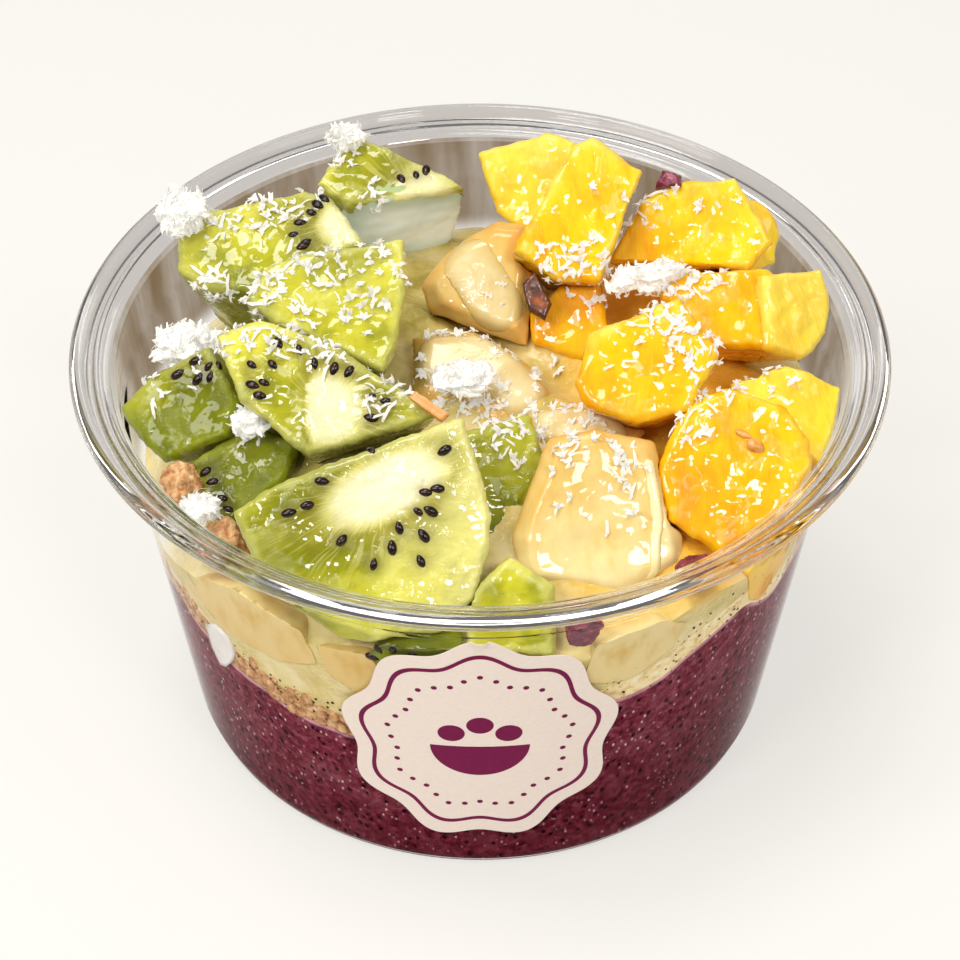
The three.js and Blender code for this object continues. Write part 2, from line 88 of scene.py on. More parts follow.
camera = bpy.data.objects.new("camera", bpy.data.cameras.new("camera"))
scene.collection.objects.link(camera)
towards_camera = Vector((0, -math.cos(ELEVATION), math.sin(ELEVATION)))
camera.location = TARGET + DISTANCE * towards_camera
camera.rotation_euler = towards_camera.to_track_quat("Z", "Y").to_euler()
camera.data.sensor_width = SENSOR
camera.data.lens = SENSOR * FOCAL_PIXELS / FRAME_PIXELS
camera.data.clip_start = 0.01
scene.camera = camera
print("camera at", [round(x, 4) for x in camera.location])

# %% Node helpers
def put(tree, socket, value):
    """Links a socket to another node's output, or sets its value."""
    if isinstance(value, bpy.types.NodeSocket):
        tree.links.new(value, socket)
    else:
        socket.default_value = value


def add_node(tree, kind, values=(), **settings):
    made = tree.nodes.new(kind)
    for name, value in settings.items():
        setattr(made, name, value)
    for socket, value in dict(values).items():
        put(tree, made.inputs[socket], value)
    return made


print("node helpers ready")

# %% Lights
scene.view_settings.view_transform = "Standard"


def softbox(name, place, size, watts, tint):
    light = bpy.data.lights.new(name, "AREA")
    light.shape = "RECTANGLE"
    light.size, light.size_y = size
    light.energy = watts
    light.color = tint
    box = bpy.data.objects.new(name, light)
    box.location = place
    box.rotation_euler = (Vector(place) - TARGET).to_track_quat("Z", "Y").to_euler()
    scene.collection.objects.link(box)


WARM, HARDLY_WARM, WHITE = (1.0, 0.98, 0.95), (1.0, 0.99, 0.97), (1.0, 1.0, 1.0)
softbox("key_light", (-0.15, 0.05, 0.75), (0.3, 0.3), 2.7, WARM)
softbox("left_light", (-0.5, -0.3, 0.55), (0.35, 0.35), 2.0, WARM)
softbox("right_light", (0.5, -0.35, 0.55), (0.35, 0.35), 1.0, WARM)
softbox("back_light", (0.1, 0.6, 0.5), (0.5, 0.1), 0.7, HARDLY_WARM)
softbox("left_spark", (-0.22, -0.35, 0.55), (0.11, 0.11), 0.9, WHITE)
softbox("right_spark", (0.2, -0.4, 0.55), (0.11, 0.11), 0.9, WHITE)
HORIZON, ZENITH = 0.1, 0.36
SKY_TINT = (1.0, 0.985, 0.965, 1)
world = bpy.data.worlds.new("studio")
world.use_nodes = True
sky = world.node_tree
heading = add_node(sky, "ShaderNodeTexCoord").outputs["Generated"]
rise = add_node(sky, "ShaderNodeSeparateXYZ", {0: heading}).outputs["Z"]
shade = add_node(sky, "ShaderNodeMapRange", {"Value": rise, "To Min": HORIZON, "To Max": ZENITH})
background = sky.nodes["Background"]
put(sky, background.inputs["Color"], SKY_TINT)
put(sky, background.inputs["Strength"], shade.outputs["Result"])
scene.world = world

# %% [markdown]
# ## Finishes
# A finish is a Principled material with its pattern built from nodes. A small class keeps the node code
# short: it adds a node, sets its values and links whatever comes from another node. Colours are written
# as the eye sees them, 0 to 255, and turned into light values.

# %% A small kit for finishes
def seen(red, green, blue):
    def light(value):
        share = value / 255
        return share / 12.92 if share <= 0.04045 else ((share + 0.055) / 1.055) ** 2.4
    return (light(red), light(green), light(blue), 1.0)


class Finish:
    def __init__(self, name, **values):
        self.material = bpy.data.materials.new(name)
        self.material.use_nodes = True
        self.material.cycles.emission_sampling = "NONE"
        self.tree = self.material.node_tree
        self.shader = self.tree.nodes["Principled BSDF"]
        self.output = self.tree.nodes["Material Output"]
        for socket, value in values.items():
            self.shader.inputs[socket.replace("_", " ")].default_value = value

    def put(self, socket, value):
        put(self.tree, socket, value)

    def node(self, kind, values=(), **settings):
        return add_node(self.tree, "ShaderNode" + kind, values, **settings)

    def place(self):
        return self.node("TexCoord").outputs["Object"]

    def attribute(self, name, output="Vector"):
        return self.node("Attribute", attribute_name=name).outputs[output]

    def level(self, name):
        return self.attribute(name, "Fac")

    def sums(self, operation, first, second=0.0):
        return self.node("Math", {0: first, 1: second}, operation=operation).outputs[0]

    def times(self, first, second):
        return self.sums("MULTIPLY", first, second)

    def stretch(self, vector, sizes):
        steps = Vector([1 / size for size in sizes])
        return self.node("VectorMath", {0: vector, 1: steps}, operation="MULTIPLY").outputs[0]

    def noise(self, vector, detail=3.0, rough=0.55):
        values = {"Vector": vector, "Scale": 1.0, "Detail": detail, "Roughness": rough}
        return self.node("TexNoise", values).outputs["Fac"]

    def clouds(self, size, detail=3.0, rough=0.55):
        """Noise over the whole bowl, with lumps of a size in mm."""
        return self.noise(self.stretch(self.place(), (size * MM,) * 3), detail, rough)

    def spots(self, vector):
        return self.node("TexVoronoi", {"Vector": vector, "Scale": 1.0}).outputs["Distance"]

    def between(self, value, low, high):
        values = {"Value": value, "From Min": low, "From Max": high}
        return self.node("MapRange", values, interpolation_type="SMOOTHSTEP").outputs["Result"]

    def ramp(self, value, *stops):
        made = self.node("ValToRGB", {"Fac": value})
        stones = made.color_ramp.elements
        while len(stones) < len(stops):
            stones.new(0.5)
        for stone, (position, tint) in zip(stones, stops):
            stone.position = position
            stone.color = seen(*tint)
        return made.outputs["Color"]

    def blend(self, share, first, second):
        made = self.node("Mix", data_type="RGBA")
        for socket, value in (("Factor", share), (6, first), (7, second)):
            self.put(made.inputs[socket], value)
        return made.outputs[2]

    def wash(self, tone, share, amount, tint):
        """The tone, turned towards a tint by a share of an amount."""
        return self.blend(self.times(share, amount), tone, seen(*tint))

    def darken(self, share, first, second):
        made = self.blend(share, first, second)
        made.node.blend_type = "MULTIPLY"
        return made

    def bump(self, height, depth, strength=1.0):
        values = {"Height": height, "Distance": depth, "Strength": strength}
        return self.node("Bump", values).outputs["Normal"]

    def colour(self, value):
        self.put(self.shader.inputs["Base Color"], value)

    def relief(self, normal):
        self.put(self.shader.inputs["Normal"], normal)

    def sparkle(self, size, depth, low=0.45, high=0.6):
        """A wet coat that is rough in patches, so that a small lamp breaks into sparkles."""
        drops = self.clouds(size, rough=0.62)
        patches = self.clouds(7 * size, 2.0)
        height = self.times(drops, self.between(patches, low, high))
        self.put(self.shader.inputs["Coat Normal"], self.bump(height, depth * MM))


def mottled(name, size, *stops, detail=3.0, rough=0.55, relief=0.0, **values):
    """A finish with one noise, with lumps of a size in mm, that picks its tones and may lift them."""
    made = Finish(name, **values)
    lumps = made.clouds(size, detail, rough)
    made.colour(made.ramp(lumps, *stops))
    if relief:
        made.relief(made.bump(lumps, relief * MM))
    return made


print("kit ready")

# %% Floor
floor_finish = mottled("light_table", 300, (0.3, (143, 141, 138)), (0.7, (145, 143, 140)), Roughness=0.8,
                       Specular_IOR_Level=0.0, Emission_Color=seen(254, 252, 246), Emission_Strength=0.63)
FLOOR_HALF = 3.0
FLOOR_DROP = 0.05 * MM
corners = [(x * FLOOR_HALF, y * FLOOR_HALF, -FLOOR_DROP) for x, y in ((-1, -1), (1, -1), (1, 1), (-1, 1))]
floor_mesh = bpy.data.meshes.new("floor")
floor_mesh.from_pydata(corners, [], [(0, 1, 2, 3)])
floor_mesh.materials.append(floor_finish.material)
floor = bpy.data.objects.new("floor", floor_mesh)
scene.collection.objects.link(floor)
print("floor", 2 * FLOOR_HALF, "m wide")

# %% [markdown]
# ## The clear tub
# A thermoformed tub is a thin wall with a step for stacking, a flat shelf and a rolled rim. It could be a
# subdivided cylinder, but a tub is turned, so its section is drawn once and spun. Small arcs ease every
# corner of the section, because the bright lines of clear plastic live on those arcs.

# %% Sizes of the tub
TUB_HEIGHT, RIM_RADIUS, BASE_RADIUS, CORNER = 65.5, 59, 45.2, 3
WALL, WALL_SLOPE = 0.8, 0.1345
STEP_Z, STEP_OUT = 55, 0.7
SHELF_Z, SHELF_RADIUS = 63.3, 56.4
FOOT_INNER, FOOT_OUTER, PUSH_UP = 38, 43, 1.2
TUB_SIDES = 200
BEAD, CORNER_EASE = 0.4, 0.6


def inner_wall(z):
    below = BASE_RADIUS - WALL + WALL_SLOPE * (np.minimum(z, STEP_Z) - CORNER)
    return below + STEP_OUT * (np.asarray(z) > STEP_Z)


def polar(radius, azimuth, z):
    """A point in metres; azimuth in degrees from -Y towards +X."""
    angle = np.radians(azimuth)
    return np.stack(np.broadcast_arrays(radius * np.sin(angle), -radius * np.cos(angle), z), -1) * MM


print("tub:", 2 * RIM_RADIUS, "mm wide,", TUB_HEIGHT, "mm high")

# %% Mesh helpers
def azimuth_of(points):
    """Degrees from -Y towards +X."""
    return np.degrees(np.arctan2(points[:, 0], -points[:, 1]))


def points_of(mesh):
    points = np.empty(len(mesh.vertices) * 3)
    mesh.vertices.foreach_get("co", points)
    return points.reshape(-1, 3)


def mesh_of(form, name):
    """The mesh of a form that is done with."""
    mesh = bpy.data.meshes.new(name)
    form.to_mesh(mesh)
    form.free()
    return mesh


def eased(points, radius, steps=4):
    """The section with each corner replaced by a small curve."""
    points = [np.array(p, float) for p in points]
    out = [points[0]]
    for before, corner, after in zip(points, points[1:], points[2:]):
        reach = min(radius, 0.45 * np.linalg.norm(before - corner), 0.45 * np.linalg.norm(after - corner))
        start = corner + reach * (before - corner) / np.linalg.norm(before - corner)
        end = corner + reach * (after - corner) / np.linalg.norm(after - corner)
        for share in np.linspace(0, 1, steps):
            out.append((1 - share) ** 2 * start + 2 * share * (1 - share) * corner + share ** 2 * end)
    return out + [points[-1]]


def skin(name, rings):
    """A closed mesh over rings of points, in order; a ring of one point is a pole."""
    starts = np.cumsum([0] + [len(ring) for ring in rings])
    sides = max(len(ring) for ring in rings)
    faces = []
    for level, (low, high) in enumerate(zip(rings, rings[1:])):
        for side in range(sides):
            turn = (side, (side + 1) % sides)
            a, b = (starts[level] + (i if len(low) > 1 else 0) for i in turn)
            d, c = (starts[level + 1] + (i if len(high) > 1 else 0) for i in turn)
            faces.append(list(dict.fromkeys((a, b, c, d))))
    mesh = bpy.data.meshes.new(name)
    mesh.from_pydata(np.concatenate(rings).tolist(), [], faces)
    return mesh


def joined(name, meshes):
    form = bmesh.new()
    for mesh in meshes:
        form.from_mesh(mesh)
        bpy.data.meshes.remove(mesh)
    bmesh.ops.recalc_face_normals(form, faces=form.faces)
    return mesh_of(form, name)


def turned(name, section, sides):
    azimuths = np.arange(sides) * 360 / sides
    return skin(name, [polar(r, azimuths, z) if r > 0 else polar(r, np.zeros(1), z) for r, z in section])


def new_piece(name, mesh, finish, slot, *nodes, smooth=True, crease=None):
    """A finished piece: its object, its finish, its body, which is always the root, and the solids that it
    stands for. The slot is not used.
    """
    mesh.materials.clear()
    mesh.materials.append(finish.material)
    if smooth:
        mesh.shade_smooth()
    else:
        mesh.shade_flat()
    if crease:
        mesh.set_sharp_from_angle(angle=crease)
    piece = bpy.data.objects.new(name, mesh)
    scene.collection.objects.link(piece)
    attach(piece, "root")
    if nodes:
        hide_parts(*nodes)
    return piece


print("mesh helpers ready")

# %% Tub section
wall_top = float(inner_wall(STEP_Z)) + WALL
neck = wall_top + STEP_OUT + 0.5
outside = [
    (0, PUSH_UP), (FOOT_INNER - 1.6, PUSH_UP), (FOOT_INNER, 0), (FOOT_OUTER, 0), (BASE_RADIUS - 0.7, 0.8),
    (BASE_RADIUS, CORNER), (wall_top, STEP_Z), (wall_top + STEP_OUT, STEP_Z + STEP_OUT),
    (wall_top + STEP_OUT + 0.1, SHELF_Z - 4.2), (neck, SHELF_Z - 3.6), (neck, SHELF_Z - 1.4),
    (neck + 1, SHELF_Z - WALL), (SHELF_RADIUS + 1.4, SHELF_Z - 0.6),
    (RIM_RADIUS, SHELF_Z + 0.4), (RIM_RADIUS, SHELF_Z + 1.1), (RIM_RADIUS - 0.6, TUB_HEIGHT - 0.3),
]
inside = [
    (RIM_RADIUS - 1.4, TUB_HEIGHT), (SHELF_RADIUS + 0.7, TUB_HEIGHT - 0.2),
    (SHELF_RADIUS + 0.4, TUB_HEIGHT - 0.9), (SHELF_RADIUS, SHELF_Z), (SHELF_RADIUS - 0.7, SHELF_Z),
    (SHELF_RADIUS - 0.9, SHELF_Z + BEAD), (SHELF_RADIUS - 1.4, SHELF_Z + BEAD), (SHELF_RADIUS - 1.6, SHELF_Z),
    (neck + 0.5, SHELF_Z), (neck - WALL, SHELF_Z - 1.2), (wall_top - WALL + STEP_OUT, STEP_Z + STEP_OUT),
    (wall_top - WALL, STEP_Z), (float(inner_wall(CORNER)), CORNER + 0.2), (FOOT_OUTER - 0.2, WALL + 0.2),
    (FOOT_INNER + 0.4, WALL + 0.1), (FOOT_INNER - 1.2, PUSH_UP + WALL), (0, PUSH_UP + WALL),
]
tub_mesh = turned("clear_tub", eased(outside + inside, CORNER_EASE), TUB_SIDES)
print("tub faces:", len(tub_mesh.polygons))

# %% [markdown]
# The plastic is clear, so lamps have to shine through it. A shadow ray in a real glass shader would stop
# at the wall, so shadow rays and soft bounces go straight through, and only the eye and mirror rays are
# bent. Above the food, at the sides and the back, the wall is tinted brownish in runs: painted shade, for
# the shadowed floor behind the bowl seen through it. The rolled rim is a little grey.

# %% Clear plastic
SHADOW_TINT = (0.97, 0.97, 0.97, 1)
CLEAR_TINT, BACK_WALL_SHADE_TINT, RIM_TINT = (0.97, 0.97, 0.965, 1), (0.2, 0.128, 0.06, 1), (0.64, 0.62, 0.62, 1)
RIM_FROM = SHELF_Z - 1.3


def lit_through(finish):
    path = finish.node("LightPath")
    passes = finish.sums("MAXIMUM", path.outputs["Is Shadow Ray"], path.outputs["Is Diffuse Ray"])
    through = finish.node("BsdfTransparent", {"Color": SHADOW_TINT})
    choice = finish.node("MixShader", {0: passes, 1: finish.shader.outputs[0], 2: through.outputs[0]})
    finish.put(finish.output.inputs["Surface"], choice.outputs[0])


clear = Finish("clear_wall", Roughness=0.03, IOR=1.06, Transmission_Weight=1.0)
spot = clear.node("SeparateXYZ", {0: clear.place()}).outputs
behind = clear.between(spot["Y"], -26 * MM, 10 * MM)
above_food = clear.between(spot["Z"], 44 * MM, 49 * MM)
runs = clear.noise(clear.stretch(clear.place(), (5 * MM, 5 * MM, 40 * MM)))
# Painted shade: the back of the wall above the food is tinted brownish in runs, for the shadowed floor seen
# through it.
back_wall_shade = clear.times(clear.times(behind, above_food), clear.between(runs, -0.45, 0.8))
clear.colour(clear.blend(back_wall_shade, CLEAR_TINT, BACK_WALL_SHADE_TINT))
lit_through(clear)
rim = Finish("clear_rim", Base_Color=RIM_TINT, Roughness=0.03, IOR=1.48, Transmission_Weight=1.0)
lit_through(rim)
new_piece("clear_tub", tub_mesh, clear, "tub", "tub")
tub_mesh.materials.append(rim.material)
for face in tub_mesh.polygons:
    face.material_index = int(face.center.z > RIM_FROM * MM)
print("rim faces:", sum(face.material_index for face in tub_mesh.polygons))

# %% [markdown]
# ## Cut fruit
# Each piece of fruit is a block cut by a knife. Its main cut face is an outline of a few corners, which
# lies at a point and faces a direction; the block narrows towards its back. The pieces rest against each
# other, so each one is trimmed round those that come before it in the list.

# %% Table of cut pieces
Cut = namedtuple("Cut", "name at face depth outline")
CUTS = [
    Cut("kiwi_front", (-13, -40, 62), (5, 45), 14, [
        (-20, 5), (-15, 8), (-2, 12), (12, 16), (15, 2), (14, -3), (12, -9), (7, -13), (-6, -13), (-17, -3)]),
    Cut("kiwi_core", (-25, -16, 70), (-10, 55), 15, [
        (-13, 5), (-7, 8), (5, 5), (20, -3), (3, -11), (-8, -4)]),
    Cut("kiwi_slab", (-20, -4, 74), (10, 60), 19, [
        (-13, 2), (-9, 7), (0, 8), (11, 9), (10, 1), (7, -8), (5, -11), (-9, -2)]),
    Cut("pineapple_middle", (22, -17, 72), (-5, 50), 16, [
        (-9, -2), (-7, 5), (5, 11), (11, 3), (7, -5), (0, -7), (-7, -5)]),
    Cut("pineapple_tall", (15, 15, 76), (10, 50), 17, [
        (3, 11), (10, 5), (7, 0), (1, -11), (-5, -10), (-11, -5), (-5, 3), (0, 10)]),
    Cut("pineapple_front", (35, -26, 64), (5, 50), 14, [
        (-11, -1), (-6, 8), (0, 10), (8, 7), (11, 2), (11, -5), (-3, -13), (-10, -8)]),
    Cut("banana_front", (17, -33, 60), (5, 45), 13, [
        (-7, 11), (0, 12), (8, 10), (11, -1), (11, -8), (2, -12), (-12, -9), (-13, -3)]),
    Cut("kiwi_left_back", (-31, 12, 72), (-20, 65), 20, [
        (-12, -7), (-15, 1), (2, 10), (6, 10), (14, 4), (7, -2), (0, -8), (-7, -9)]),
    Cut("kiwi_left", (-43, -13, 62), (-30, 45), 13, [
        (-9, -3), (-6, 3), (1, 10), (9, 4), (9, -1), (1, -8), (-4, -6)]),
    Cut("pineapple_back_left", (8, 30, 71), (-10, 45), 18, [
        (-9, 3), (1, 7), (6, 6), (6, -2), (0, -9), (-5, -6)]),
    Cut("pineapple_back", (32, 20, 70), (0, 45), 17, [
        (-13, -6), (-8, 3), (-4, 6), (6, 7), (12, -3), (8, -7)]),
    Cut("pineapple_upper", (36, 4, 68), (0, 55), 15, [
        (-13, 4), (-6, 3), (6, 5), (9, 2), (6, -7), (-2, -7)]),
    Cut("pineapple_right", (47, 3, 66), (35, 40), 14, [
        (-4, 8), (6, 5), (5, -1), (3, -4), (-3, -6), (-8, -2)]),
    Cut("pineapple_right_low", (44, -16, 64), (15, 60), 13, [
        (-8, 6), (1, 7), (9, 2), (5, -4), (2, -9), (-2, -4), (-7, 2)]),
    Cut("banana_back", (0, 12, 66), (-10, 50), 11, [
        (-9, -2), (-6, 4), (1, 9), (6, 9), (8, 2), (8, -9), (0, -7), (-7, -6)]),
    Cut("kiwi_back", (-16, 33, 70), (0, 75), 18, [
        (-9, -2), (-6, 4), (-3, 7), (4, 4), (14, -3), (4, -5), (-4, -6)]),
    Cut("kiwi_small", (4, -46, 55), (0, 40), 8, [(-6, 2), (0, 7), (6, 3), (6, -6), (-6, -6)]),
    Cut("pineapple_back_right", (42, 25, 65), (30, 50), 14, [
        (-8, 5), (0, 6), (3, 3), (4, -1), (1, -6), (-8, -5)]),
    Cut("pineapple_low", (13, 7, 62), (-10, 45), 8, [(-6, 1), (-2, 5), (4, 6), (6, -1), (3, -6), (-5, -4)]),
    Cut("kiwi_left_low", (-35, -21, 57), (-20, 60), 9, [
        (-9, -3), (-5, 1), (0, 8), (8, 7), (8, 1), (2, -7), (-4, -6)]),
    Cut("banana_middle", (0, -3, 60), (0, 65), 6, [(-10, 7), (-1, 8), (7, 3), (12, -4), (3, -9), (-10, -4)]),
    Cut("banana_right", (14, -14, 60), (0, 65), 6, [(-8, 2), (3, 5), (10, 0), (6, -5), (-5, -7)]),
    Cut("kiwi_centre", (4, -25, 60), (15, 50), 9, [(-6, 7), (5, 8), (6, 1), (0, -10), (-7, -7)]),
    Cut("pineapple_wall", (42, -33, 49), (52, 0), 9, [(-6, 3), (0, 7), (7, 6), (6, -4), (1, -8), (-3, -5)]),
    Cut("kiwi_wall", (-9, -52, 48), (-10, 0), 7, [(-7, 1), (-5, 4), (7, 5), (8, -4), (-3, -5)]),
    Cut("banana_left", (-32, -43, 46), (-37, 0), 10, [
        (-17, -5), (-13, 2), (-4, 6), (8, 4), (10, -3), (2, -7), (-9, -7)]),
    Cut("banana_low", (-16, -51, 44), (-18, 0), 9, [(-8, 4), (0, 5), (6, 1), (8, -6), (0, -7), (-7, -2)]),
    Cut("banana_foot", (22, -49, 46), (25, 0), 9, [(-8, -4), (-6, 5), (4, 6), (9, 3), (7, -2), (0, -6)]),
    Cut("dried_fruit_front", (14.5, -52, 54.5), (16, 0), 5, [
        (-2, -3), (-2.5, 2), (0, 3.5), (3, 1), (1.5, -4)]),
    Cut("dried_fruit_right", (30, -40.5, 56), (37, 30), 5, [(-2.5, -1.5), (-1.5, 1.5), (2, 2), (3, -1)]),
    Cut("dried_fruit_back", (28, 24, 75), (0, 60), 4, [(-2, -1), (-1, 2), (2, 1), (2, -1)]),
    Cut("nut_sliver", (-7, -22.9, 70.9), (0, 50), 3, [(-2.9, 1.2), (-1.9, 2.3), (2.9, -1.2), (1.9, -2.3)]),
    Cut("nut_dark", (8, 6, 67), (0, 45), 5, [(-2, 2), (0, 4), (2.5, -1), (1.5, -3.5), (-1, -2)]),
    Cut("granola_rim", (-43, -23, 57), (-60, 40), 5, [(-4, -1), (-2, 3), (2, 2), (3, -2), (-1, -3)]),
    Cut("granola_low", (-36, -33, 55.5), (-45, 40), 7, [(-4, -1), (-1, 3), (3, 1), (3, -2), (-1, -3)]),
]
KINDS = ("kiwi", "pineapple", "banana", "dried_fruit", "nut", "granola")
EDGE_ROUND = dict(zip(KINDS, (0.8, 0.8, 2.4, 0.8, 0.5, 0.9)))
BACK_TAPER, SHORTEST_ARM = 0.8, 0.3


def kind_of(cut):
    return next(kind for kind in KINDS if cut.name.startswith(kind))


def face_place(cut):
    """From the cut face's own right, up and out, in mm, to the bowl's frame."""
    azimuth, tilt = (math.radians(angle) for angle in cut.face)
    out = Vector((math.cos(tilt) * math.sin(azimuth), -math.cos(tilt) * math.cos(azimuth), math.sin(tilt)))
    right = Vector((math.cos(azimuth), math.sin(azimuth), 0))
    place = Matrix((right, out.cross(right), out)).transposed().to_4x4()
    place.translation = cut.at
    return place


cut_named = {cut.name: cut for cut in CUTS}
print("cut pieces:", len(CUTS))

# %% [markdown]
# A knife leaves flat faces and crisp edges, and the wet flesh then softens them. So a block starts as the
# convex hull of its outline at four depths. Boolean modifiers trim it round its neighbours and to the
# tub's wall, Remesh gives it an even skin, Smooth eases the edges, and two Displace modifiers make the
# flesh uneven.

# %% Blocks
PIECE_INTO_WALL, LAYER_INTO_WALL = 0.3, 0.08
CLEAR_OF_NEIGHBOUR = 0.05
ROOM_TOP, ROOM_SIDES = 100, 96


def link_helper(name, mesh):
    helper = bpy.data.objects.new(name, mesh)
    scene.collection.objects.link(helper)
    return helper


def evaluated(helper):
    bpy.context.view_layer.update()
    return bpy.data.meshes.new_from_object(helper.evaluated_get(bpy.context.evaluated_depsgraph_get()))


def block(cut, grow=0.0):
    """The convex block of a piece, or that block grown by a clearance."""
    ease = EDGE_ROUND[kind_of(cut)]
    middle = sum((Vector(corner) for corner in cut.outline), Vector((0, 0))) / len(cut.outline)
    levels = [(0, ease, 1), (-ease, 0, 1), (ease - cut.depth, 0, BACK_TAPER), (-cut.depth, ease, BACK_TAPER)]
    place = face_place(cut)
    form = bmesh.new()
    for depth, inset, taper in levels:
        out = grow if depth == 0 else -grow if depth == -cut.depth else 0
        for corner in cut.outline:
            arm = (Vector(corner) - middle) * taper
            arm *= max(arm.length - inset + grow, SHORTEST_ARM) / arm.length
            form.verts.new(place @ Vector((*(middle + arm), depth + out)) * MM)
    hull = bmesh.ops.convex_hull(form, input=form.verts)
    bmesh.ops.delete(form, geom=list(set(hull["geom_interior"] + hull["geom_unused"])), context="VERTS")
    return mesh_of(form, cut.name)


def reach(mesh):
    points = points_of(mesh)
    return points.min(0), points.max(0)


def keep_largest(mesh):
    """Deletes the loose scraps that a trim leaves."""
    form = bmesh.new()
    form.from_mesh(mesh)
    left, islands = set(form.verts), []
    while left:
        island, edge = set(), [left.pop()]
        while edge:
            vert = edge.pop()
            island.add(vert)
            fresh = [e.other_vert(vert) for e in vert.link_edges if e.other_vert(vert) in left]
            left.difference_update(fresh)
            edge += fresh
        islands.append(island)
    islands.sort(key=lambda island: max(v.co.z for v in island) - min(v.co.z for v in island) + len(island))
    scraps = [vert for island in islands[:-1] for vert in island]
    bmesh.ops.delete(form, geom=scraps, context="VERTS")
    form.to_mesh(mesh)
    form.free()


print("blocks with eased edges:", len(EDGE_ROUND), "kinds")

# %% Trimming
step_wall = float(inner_wall(STEP_Z)) + PIECE_INTO_WALL
room_section = [(0, PUSH_UP), (float(inner_wall(CORNER)) + PIECE_INTO_WALL, CORNER), (step_wall, STEP_Z),
                (step_wall + STEP_OUT, STEP_Z + STEP_OUT), (step_wall + STEP_OUT, ROOM_TOP), (0, ROOM_TOP)]
room = link_helper("room", turned("room", room_section, ROOM_SIDES))
cutters = []
trimmed = {}
for cut in CUTS:
    helper = link_helper("trim_" + cut.name, block(cut))
    low, high = reach(helper.data)
    for cutter in cutters:
        other_low, other_high = reach(cutter.data)
        if (low < other_high).all() and (high > other_low).all():
            trim = helper.modifiers.new("trim", "BOOLEAN")
            trim.operation, trim.solver, trim.object = "DIFFERENCE", "MANIFOLD", cutter
    fit = helper.modifiers.new("fit", "BOOLEAN")
    fit.operation, fit.solver, fit.object = "INTERSECT", "MANIFOLD", room
    trimmed[cut.name] = evaluated(helper)
    keep_largest(trimmed[cut.name])
    bpy.data.objects.remove(helper)
    cutters.append(link_helper("cutter_" + cut.name, block(cut, CLEAR_OF_NEIGHBOUR)))
for helper in [room, *cutters]:
    bpy.data.objects.remove(helper)
print("trimmed pieces:", sum(len(mesh.polygons) > 3 for mesh in trimmed.values()))

# %% Soft skins
Skin = namedtuple("Skin", "voxel smooth swell swell_size grit grit_size")
SKINS = {
    "kiwi": Skin(0.4, 2, 0.9, 6.0, 0.45, 1.7),
    "pineapple": Skin(0.4, 2, 1.4, 6.0, 0.25, 1.6),
    "banana": Skin(0.45, 9, 1.2, 7.0, 0.1, 2.2),
    "dried_fruit": Skin(0.25, 3, 1.2, 2.0, 0.3, 0.8),
    "nut": Skin(0.2, 2, 0.3, 2.0, 0.05, 0.6),
    "granola": Skin(0.25, 2, 2.2, 2.2, 0.8, 0.9),
}
PRESSED = 0.8


def cloud(size):
    texture = bpy.data.textures.new(f"cloud_{size}", "CLOUDS")
    texture.noise_scale = size * MM
    texture.noise_depth = 2
    return texture


def soften(mesh, skin_of):
    """The trimmed block with an even skin, eased edges and uneven flesh, pressed flat at the wall."""
    helper = link_helper("soften", mesh)
    remesh = helper.modifiers.new("skin", "REMESH")
    remesh.mode, remesh.voxel_size = "VOXEL", skin_of.voxel * MM
    smooth = helper.modifiers.new("ease", "SMOOTH")
    smooth.factor, smooth.iterations = 0.5, skin_of.smooth
    for height, size in ((skin_of.swell, skin_of.swell_size), (skin_of.grit, skin_of.grit_size)):
        uneven = helper.modifiers.new("uneven", "DISPLACE")
        uneven.texture, uneven.texture_coords = cloud(size), "LOCAL"
        uneven.strength, uneven.mid_level = height * MM, 0.5
    soft = evaluated(helper)
    bpy.data.objects.remove(helper)
    points = points_of(soft)
    reach_out = (inner_wall(points[:, 2] / MM) + PIECE_INTO_WALL) * MM
    far = np.hypot(points[:, 0], points[:, 1])
    gap = reach_out - far
    pressed_gap = np.clip(2 * (gap - PRESSED * MM), 0, np.maximum(gap, 0))
    gap = np.where(points[:, 2] < STEP_Z * MM, pressed_gap, np.maximum(gap, 0))
    beside_wall = points[:, 2] < TUB_HEIGHT * MM
    points[beside_wall, :2] *= ((reach_out - gap) / np.maximum(far, MM))[beside_wall, None]
    soft.vertices.foreach_set("co", points.ravel())
    return soft


soft = {cut.name: soften(trimmed[cut.name], SKINS[kind_of(cut)]) for cut in CUTS}
print("faces on the fruit:", sum(len(mesh.polygons) for mesh in soft.values()))

# %% [markdown]
# ## Kiwi
# A kiwi has a pale heart, fine pale rays, a ring of black seeds and green flesh. The pattern belongs to
# the whole fruit, not to the piece, so each piece carries an attribute with its place in the fruit it was
# cut from: across the fruit in X and Y, with the seed ring at 1, and along it in Z. A colour that reads
# the distance from the heart then runs over every cut face of the piece.

